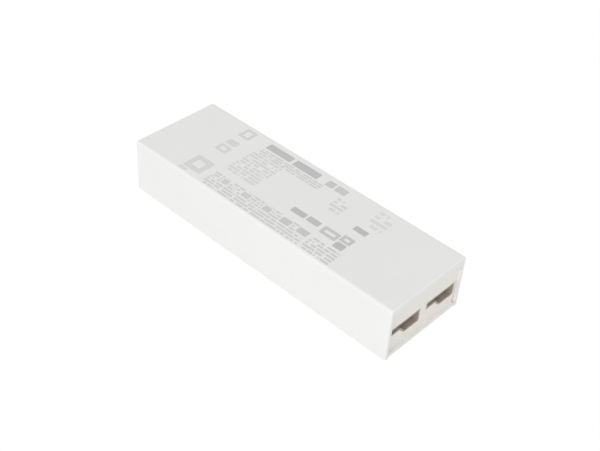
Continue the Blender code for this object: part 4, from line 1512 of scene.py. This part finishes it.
@dataclass
class OutputSockets(Connector):
    """Two keyed sockets in the near end wall."""

    slot: str = "dark_plastic"
    jacks: tuple[Jack, ...] = tuple(
        Jack(
            f"socket_body_{side}",
            f"output_socket_{side}",
            (f"output_pin_{side}_plus", f"output_pin_{side}_minus"),
        )
        for side in ("front", "back")
    )
    pins: str = "output_pins"
    neck_width: float = 5.2 * MM
    neck_height: float = 3.0 * MM
    slant: float = 2.8 * MM
    corner: float = 0.5 * MM
    corner_steps: int = 4
    flange: float = 0.4 * MM

    def outline(self, centre: float, grow: float) -> list[Point]:
        """The nose's outline, wide with a shallow neck and a slanted step between them.

        Args:
            centre: The socket's middle across the housing.
            grow: How far the outline is grown on every side.

        Returns:
            The outline.
        """
        box_low, box_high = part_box(self.jacks[0].node)
        half = (box_high.y - box_low.y) / 2 - self.flange
        bottom, crest = box_low.z, box_high.z - self.shoulder
        drop = crest - bottom - self.neck_height
        shift = grow * (math.hypot(self.slant, drop) - self.slant) / drop
        step = centre - half + self.neck_width - shift
        left, right = centre - half - grow, centre + half + grow
        low, top, neck = bottom - grow, crest + grow, crest - self.neck_height - grow
        corners = [(step + self.slant, low), (right, low), (right, top)]
        corners += [(left, top), (left, neck), (step, neck)]
        return rounded(corners, self.corner, self.corner_steps)


@dataclass
class MainsInlet(Connector):
    """The figure-eight inlet in the far end wall."""

    slot: str = "black_plastic"
    jacks: tuple[Jack, ...] = (Jack("inlet_body", "mains_inlet", ("mains_pin_live", "mains_pin_neutral")),)
    pins: str = "inlet_pins"
    faces_near: bool = False
    wall: float = 1.0 * MM
    depth: float = 12.5 * MM
    shoulder: float = 1.0 * MM
    bore_radius: float = 1.5 * MM
    bore_sides: int = 40
    ease: float = 0.15 * MM
    lobe_radius: float = 5.4 * MM
    lobe_pitch: float = 8.0 * MM
    lobe_steps: int = 36
    waist: float = 8.8 * MM

    def outline(self, centre: float, grow: float) -> list[Point]:
        """The nose's outline: two lobes with a waist between them.

        Args:
            centre: The inlet's middle across the housing.
            grow: How far the outline is grown on every side.

        Returns:
            The outline.
        """
        radius, middle = self.lobe_radius + grow, self.lobe_pitch / 2
        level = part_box(self.jacks[0].node)[0].z + self.lobe_radius
        end = 180 - math.degrees(math.asin((self.waist / 2 + grow) / radius))
        right = arc((centre + middle, level), radius, -end, end, self.lobe_steps)
        return right + arc((centre - middle, level), radius, 180 - end, 180 + end, self.lobe_steps)


@dataclass
class Studio:
    """The pale floor, the soft lamp and the camera at the photograph's angle."""

    place: Place = (0.19930, -0.22556, 0.25844)
    target: Place = (0.00483, -0.00005, 0.01150)
    roll: float = 4.34
    lens: float = 62.03
    sensor: float = 36.0
    floor_size: float = 6.0
    ambient: float = 0.80
    floor_colour: float = 0.88
    floor_white: float = 0.88
    floor_glow: float = 1.04
    clip: tuple[float, float] = (0.01, 50.0)
    lamp_place: Place = (0.62, -1.55, 0.83)
    lamp_size: float = 1.2
    lamp_power: float = 13.2

    def aim(self, obj: bpy.types.Object, place: Place, target: Place, roll: float = 0.0) -> None:
        """Puts the camera or the lamp in its place, so that it looks at a target.

        Args:
            obj: The camera or the lamp.
            place: Where it goes.
            target: What it looks at.
            roll: How far it is turned about its line of sight, in degrees.
        """
        look = (Vector(target) - Vector(place)).to_track_quat("-Z", "Y").to_matrix()
        turn = Matrix.Rotation(math.radians(roll), 3, "Z")
        obj.matrix_world = Matrix.Translation(place) @ (look @ turn).to_4x4()

    def camera(self) -> None:
        """The camera at the photograph's place, with its slight roll."""
        data = bpy.data.cameras.new("camera")
        data.lens, data.sensor_width = self.lens, self.sensor
        data.clip_start, data.clip_end = self.clip
        camera = new_object("camera", data)
        self.aim(camera, self.place, self.target, self.roll)
        bpy.context.scene.camera = camera

    def floor(self) -> None:
        """A wide pale floor that keeps the shadow and looks white to the camera."""
        half = self.floor_size / 2
        corners = [(along, across, 0.0) for along, across in rectangle((-half, -half), (half, half))]
        mesh = bpy.data.meshes.new("floor")
        mesh.from_pydata(corners, [], [(0, 1, 2, 3)])
        floor = new_object("floor", mesh)
        paint = Paint("floor")
        diffuse = paint.value("ShaderNodeBsdfDiffuse", inputs={"Color": (*[self.floor_colour] * 3, 1.0)})
        seen = paint.value("ShaderNodeLightPath", output="Is Camera Ray") * self.floor_white
        white = paint.value("ShaderNodeEmission", inputs={"Strength": self.floor_glow})
        both = paint.value("ShaderNodeMixShader", inputs={0: seen, 1: diffuse, 2: white})
        paint.node("ShaderNodeOutputMaterial", inputs={"Surface": both})
        mesh.materials.append(paint.material)

    def world(self) -> None:
        """A white surround: at full strength for what is seen or reflected, softer as light."""
        world = bpy.data.worlds.new("surround")
        world.use_nodes = True
        bpy.context.scene.world = world
        graph = Graph(world.node_tree)
        graph.tree.nodes.clear()
        path = graph.node("ShaderNodeLightPath")
        seen = Value(graph, path.outputs["Is Camera Ray"])
        for ray in ("Is Glossy Ray", "Is Transmission Ray"):
            seen = seen.most(Value(graph, path.outputs[ray]))
        strength = seen * (1.0 - self.ambient) + self.ambient
        light = graph.value("ShaderNodeBackground", inputs={"Color": (1, 1, 1, 1), "Strength": strength})
        graph.node("ShaderNodeOutputWorld", inputs={"Surface": light})

    def lamp(self) -> None:
        """A soft square lamp that faces the driver."""
        data = bpy.data.lights.new("key_lamp", "AREA")
        data.shape, data.size, data.energy = "SQUARE", self.lamp_size, self.lamp_power
        self.aim(new_object("key_lamp", data), self.lamp_place, (0.0, 0.0, 0.0))

    def build(self) -> None:
        """Sets up the studio."""
        bpy.context.scene.view_settings.view_transform = "Standard"
        self.camera()
        self.floor()
        self.world()
        self.lamp()


@dataclass
class Finishes:
    """The materials of the whole driver, by the record's slots."""

    made: dict[str, bpy.types.Material] = field(default_factory=dict)

    def build(self) -> dict[str, bpy.types.Material]:
        """Makes every finish.

        Returns:
            The materials by slot.
        """
        plain = [
            Finish("dark_plastic", (0.420, 0.360, 0.305), 0.45),
            Finish("black_plastic", (0.022, 0.022, 0.024), 0.38),
            Brushed("tinned_metal", (0.72, 0.71, 0.68), 0.24, 1.0, grain=0.05 * MM, depth=0.002 * MM),
            Brushed("zinc_steel", (0.60, 0.60, 0.58), 0.34, 1.0, grain=0.06 * MM, depth=0.003 * MM),
            Laminate(
                "board_laminate",
                (0.030, 0.150, 0.062),
                0.38,
                depth=0.03 * MM,
                coat=0.3,
                top=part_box("circuit_board")[1].z,
                outlines=part_outlines(),
            ),
            Finish("insulation", (0.42, 0.43, 0.42), 0.72, variation=0.12, patch=2 * MM, depth=0.01 * MM),
            Finish("fuse_case", (0.105, 0.045, 0.025), 0.40),
            Finish("varistor_coat", (0.030, 0.110, 0.360), 0.30, grain=0.9 * MM, depth=0.03 * MM, coat=0.4),
            Finish("film_case", (0.620, 0.480, 0.060), 0.40),
            Finish("ferrite", (0.042, 0.042, 0.046), 0.58, variation=0.3, patch=1 * MM, depth=0.012 * MM),
            Finish("copper_wire", (0.560, 0.220, 0.075), 0.26, 1.0, variation=0.15, patch=2 * MM, coat=0.5),
            Finish("can_sleeve", (0.028, 0.034, 0.062), 0.30, coat=0.2),
            Finish("tape", (0.700, 0.540, 0.070), 0.32, coat=0.4),
            Finish("nylon", (0.640, 0.630, 0.580), 0.45),
            Finish("disc_coat", (0.040, 0.150, 0.340), 0.32, grain=0.8 * MM, depth=0.03 * MM, coat=0.3),
            Finish("resistor_coat", (0.300, 0.380, 0.420), 0.42),
        ]
        # The box of the end wall below the brow, which takes the painted warm bounce light
        face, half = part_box("output_socket_front")[1].x, CAD_BOX[1].y - Housing.side_wall
        under_brow = CAD_BOX[1].z - Housing.brow
        self.made["white_plastic"] = PrintedPlastic(
            "white_plastic",
            (0.80, 0.80, 0.79),
            0.42,
            variation=0.008,
            patch=16 * MM,
            depth=0.004 * MM,
            top=CAD_BOX[1].z,
            wall=((face - SKIN, -half, Housing.floor), (face + SKIN, half, under_brow)),
            prints=top_print(),
        ).material()
        for finish in plain:
            self.made[finish.name] = finish.material()
        return self.made


def top_print() -> tuple[Print, ...]:
    """The shapes that stand for the print.

    Each has its mark, two corners from the far end and the front edge, its ink and its line, in millimetres.

    Returns:
        The shapes in the part's frame.
    """
    low = CAD_BOX[0]
    shapes = [
        (Mark.FRAME, (23.2, 3.6), (32.2, 12.4), 0.27, 2.4),
        (Mark.BAR, (23.0, 1.4), (27.2, 2.8), 0.24, 1.0),
        (Mark.FRAME, (23.4, 32.4), (29.0, 38.6), 0.30, 1.4),
        (Mark.BAR, (23.6, 25.4), (28.8, 28.8), 0.28, 1.0),
        (Mark.FRAME, (23.4, 19.6), (29.2, 24.2), 0.26, 1.4),
        (Mark.BAR, (37.0, 34.4), (50.0, 38.0), 0.58, 1.0),
        (Mark.BAR, (51.4, 34.2), (64.2, 38.0), 0.60, 1.0),
        (Mark.ROWS, (37.0, 29.8), (69.0, 33.4), 0.34, 0.8),
        (Mark.BAR, (68.4, 34.2), (72.2, 37.8), 0.48, 1.0),
        (Mark.BAR, (73.0, 34.2), (78.2, 37.8), 0.44, 1.0),
        (Mark.ROWS, (35.8, 13.8), (51.6, 29.2), 0.27, 1.1),
        (Mark.ROWS, (35.6, 1.4), (85.0, 10.0), 0.34, 1.0),
        (Mark.BAR, (41.0, 6.4), (44.0, 9.2), 0.36, 1.0),
        (Mark.BAR, (51.6, 6.4), (55.4, 9.2), 0.38, 1.0),
        (Mark.BAR, (62.6, 6.4), (66.2, 9.2), 0.42, 1.0),
        (Mark.BAR, (71.6, 6.2), (76.2, 9.4), 0.46, 1.0),
        (Mark.BAR, (79.6, 6.6), (84.6, 9.6), 0.48, 1.0),
        (Mark.BAR, (70.2, 13.6), (77.0, 16.5), 0.62, 1.0),
        (Mark.BAR, (77.8, 13.8), (83.6, 16.7), 0.58, 1.0),
        (Mark.FRAME, (85.4, 12.4), (93.0, 16.8), 0.48, 1.5),
        (Mark.BAR, (93.8, 10.2), (98.2, 13.6), 0.62, 1.0),
        (Mark.FRAME, (93.4, 14.2), (98.4, 18.2), 0.50, 1.4),
        (Mark.BAR, (92.8, 22.3), (98.8, 25.0), 0.62, 1.0),
        (Mark.ROWS, (93.8, 27.6), (101.4, 37.8), 0.22, 2.0),
        (Mark.ROWS, (77.6, 24.4), (84.0, 32.2), 0.28, 1.6),
        (Mark.ROWS, (86.2, 1.4), (99.8, 9.0), 0.37, 1.1),
    ]
    made = []
    for mark, start, end, ink, line in shapes:
        first = (low.x + start[0] * MM, low.y + start[1] * MM)
        last = (low.x + end[0] * MM, low.y + end[1] * MM)
        made.append(Print(mark, first, last, ink, line * MM))
    return tuple(made)


def part_outlines() -> tuple[Print, ...]:
    """A thin white outline on the board round each part that stands on it.

    Returns:
        The outlines in the part's frame.
    """
    names = ["fuse", "varistor", "suppression_capacitor", "choke_core", "bridge_rectifier", "filter_inductor"]
    names += ["bulk_capacitor_front", "bulk_capacitor_middle", "controller_chip", "safety_capacitor"]
    names += ["optocoupler", "output_diode", "snubber_resistor", "output_inductor_core"]
    spare, ink, line = 0.35 * MM, 0.9, 0.18 * MM
    made = []
    for low, high in map(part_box, names):
        first, last = (low.x - spare, low.y - spare), (high.x + spare, high.y + spare)
        made.append(Print(Mark.FRAME, first, last, ink, line))
    return tuple(made)


@dataclass
class Circuit:
    """The parts on the board that keep their solids, the rewound coils and the solder."""

    finishes: dict[str, bpy.types.Material]
    choke_hole: float = 3.7 * MM
    choke_wire: float = 0.7 * MM
    choke_arc: float = 126.0
    choke_turns: int = 11
    choke_samples: int = 40
    winding_wire: float = 0.5 * MM
    inductor_wire: float = 0.6 * MM
    coil_samples: int = 44
    wire_sides: int = 10
    clearance: float = 0.15 * MM
    squareness: float = 0.45
    joint_radius: float = 0.75 * MM
    joint_height: float = 0.6 * MM
    joint_waist: float = 0.75
    joint_sink: float = 0.02 * MM
    joint_steps: int = 3
    joint_sides: int = 10
    lead_radius: float = 0.45 * MM
    lead_corners: int = 6

    def marked(self) -> dict[str, bpy.types.Material]:
        """The finishes of the parts with bands.

        Returns:
            The materials by node.
        """
        black, grey, blue = (0.020, 0.020, 0.022), (0.55, 0.55, 0.55), (0.300, 0.380, 0.420)
        rings = ((0.36, 0.40, (0.45, 0.02, 0.02)), (0.45, 0.49, (0.30, 0.02, 0.35)), (0.54, 0.58, black))
        made = [
            Banded("diode_coat", black, 0.36, node="output_diode", axis=1, bands=((0.66, 0.74, grey),)),
            Banded("resistor_rings", blue, 0.42, node="snubber_resistor", bands=rings),
        ]
        lid, sleeve = ((0.985, 1.1, (0.62, 0.62, 0.62)),), (0.028, 0.034, 0.062)
        for side in ("front", "back"):
            node = f"output_capacitor_{side}"
            made.append(Banded(f"upright_can_{side}", sleeve, 0.30, node=node, axis=2, bands=lid))
        return {finish.node: finish.material() for finish in made}

    def dress(self) -> None:
        """Gives each node that still shows the finish of its slot in the record, or one of its own."""
        marked = self.marked()
        for row in frame["record"]["subparts"]:
            obj = frame["nodes"][row["node"]]
            if not obj.hide_render:
                obj.data.materials.clear()
                obj.data.materials.append(marked.get(row["node"], self.finishes[row["material_slot"]]))

    def wind(self, coils: CoilTree) -> None:
        """Rewinds the choke, the transformer and the output inductor in wire.

        Args:
            coils: The tree that winds them.
        """
        self.choke_half(coils, "line", 90.0)
        self.choke_half(coils, "return", -90.0)
        self.straight_coil(coils, "transformer", self.winding_wire, "X", self.squareness)
        self.straight_coil(coils, "output_inductor", self.inductor_wire, "Z", 1.0)

    def choke_half(self, coils: CoilTree, name: str, middle_angle: float) -> bpy.types.Object:
        """One half of the choke's winding.

        Args:
            coils: The tree that winds it.
            name: Which half.
            middle_angle: Where its middle lies round the ring, in degrees.

        Returns:
            The piece.
        """
        low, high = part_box("choke_core")
        outer, away = (high.x - low.x) / 2, self.choke_wire / 2 + self.clearance
        span = math.radians(self.choke_arc)
        values = {
            "Turns": float(self.choke_turns),
            "Half Width": (outer - self.choke_hole) / 2 + away,
            "Half Height": (high.z - low.z) / 2 + away,
            "Ring Radius": (outer + self.choke_hole) / 2,
            "Arc": span,
            "Start": math.radians(middle_angle) - span / 2,
            "Squareness": self.squareness,
            "Wire": self.choke_wire,
            "Samples": self.choke_samples * self.choke_turns,
            "Sides": self.wire_sides,
            "Finish": self.finishes["copper_wire"],
        }
        made = coils.run(f"choke_coil_{name}", [Vector()], values)
        made.data.transform(Matrix.Translation((low + high) / 2))
        return settle(made, [f"choke_winding_{name}"])

    def straight_coil(
        self, coils: CoilTree, name: str, wire: float, axis: str, squareness: float
    ) -> bpy.types.Object:
        """A coil of touching turns in the space of the winding's solid.

        Args:
            coils: The tree that winds it.
            name: The part that it belongs to.
            wire: The wire's thickness.
            axis: The coil's axis, X or Z.
            squareness: One for round turns, less for turns with flat sides.

        Returns:
            The piece.
        """
        low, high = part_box(f"{name}_winding")
        size = high - low
        length, width, height = (size.x, size.y, size.z) if axis == "X" else (size.z, size.x, size.y)
        turns = round((length - wire) / wire)
        values = {
            "Turns": float(turns),
            "Half Width": (width - wire) / 2,
            "Half Height": (height - wire) / 2,
            "Travel": length - wire,
            "Squareness": squareness,
            "Wire": wire,
            "Samples": self.coil_samples * turns,
            "Sides": self.wire_sides,
            "Finish": self.finishes["copper_wire"],
        }
        made = coils.run(f"{name}_coil", [Vector()], values)
        turn = Matrix.Rotation(-math.pi / 2, 4, "Z") if axis == "X" else Matrix.Rotation(math.pi / 2, 4, "X")
        made.data.transform(Matrix.Translation((low + high) / 2) @ turn)
        return settle(made, [f"{name}_winding"])

    def feet(self) -> list[Vector]:
        """Where the leads of the parts meet the board, found from the lowest corners of their solids.

        Returns:
            The places on the board's top.
        """
        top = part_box("circuit_board")[1].z
        places = []
        for name, obj in frame["nodes"].items():
            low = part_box(name)[0].z
            if name.startswith(("output_socket", "mains_inlet")) or not top < low < top + self.joint_height:
                continue
            corners = [vert.co.xy for vert in obj.data.vertices if vert.co.z < low + LEVEL]
            places += [Vector((*foot, top)) for foot in self.round_feet(corners)]
        return places

    def round_feet(self, corners: list[Vector]) -> list[Vector]:
        """The middles of the small rings that some corners form.

        Args:
            corners: Corners in (x, y).

        Returns:
            The middle of each ring that is no wider than a lead.
        """
        groups = []
        for corner in corners:
            near = next((group for group in groups if (group[0] - corner).length < self.joint_radius), None)
            if near:
                near.append(corner)
            else:
                groups.append([corner])
        middles = []
        for group in groups:
            middle = sum(group, Vector((0.0, 0.0))) / len(group)
            radius = max((corner - middle).length for corner in group)
            if len(group) >= self.lead_corners and radius < self.lead_radius:
                middles.append(middle)
        return middles

    def solder(self, copies: CopyTree) -> bpy.types.Object:
        """A fillet of solder round each lead where it enters the board.

        Args:
            copies: The tree that copies them.

        Returns:
            The piece.
        """
        radius, rise = self.joint_radius, self.joint_height
        profile = [(radius, -self.joint_sink)]
        for a in quarter(self.joint_steps):
            profile.append((radius * (1 - self.joint_waist * math.sin(a)), rise * (1 - math.cos(a))))
        form = Form.turned(profile, self.joint_sides)
        made = copies.pieces("solder_joints", form, self.feet(), self.finishes["tinned_metal"])
        return settle(made, [])


def main() -> None:
    """Builds the driver and its studio, and reports each piece."""
    logging.basicConfig(level=logging.INFO, format="%(name)s: %(message)s")
    finishes = Finishes().build()
    copies, coils = CopyTree(), CoilTree()
    housing = Housing(finishes["white_plastic"])
    sockets = OutputSockets(finishes["dark_plastic"], finishes["tinned_metal"])
    inlet = MainsInlet(finishes["black_plastic"], finishes["tinned_metal"])
    housing.cover(sockets, inlet, copies)
    housing.tray(sockets, inlet)
    Screws(finishes["zinc_steel"]).build(copies)
    sockets.bodies()
    sockets.contacts(copies)
    inlet.bodies()
    inlet.contacts(copies)
    circuit = Circuit(finishes)
    circuit.wind(coils)
    circuit.solder(copies)
    circuit.dress()
    Studio().build()


if __name__ == "__main__":
    main()
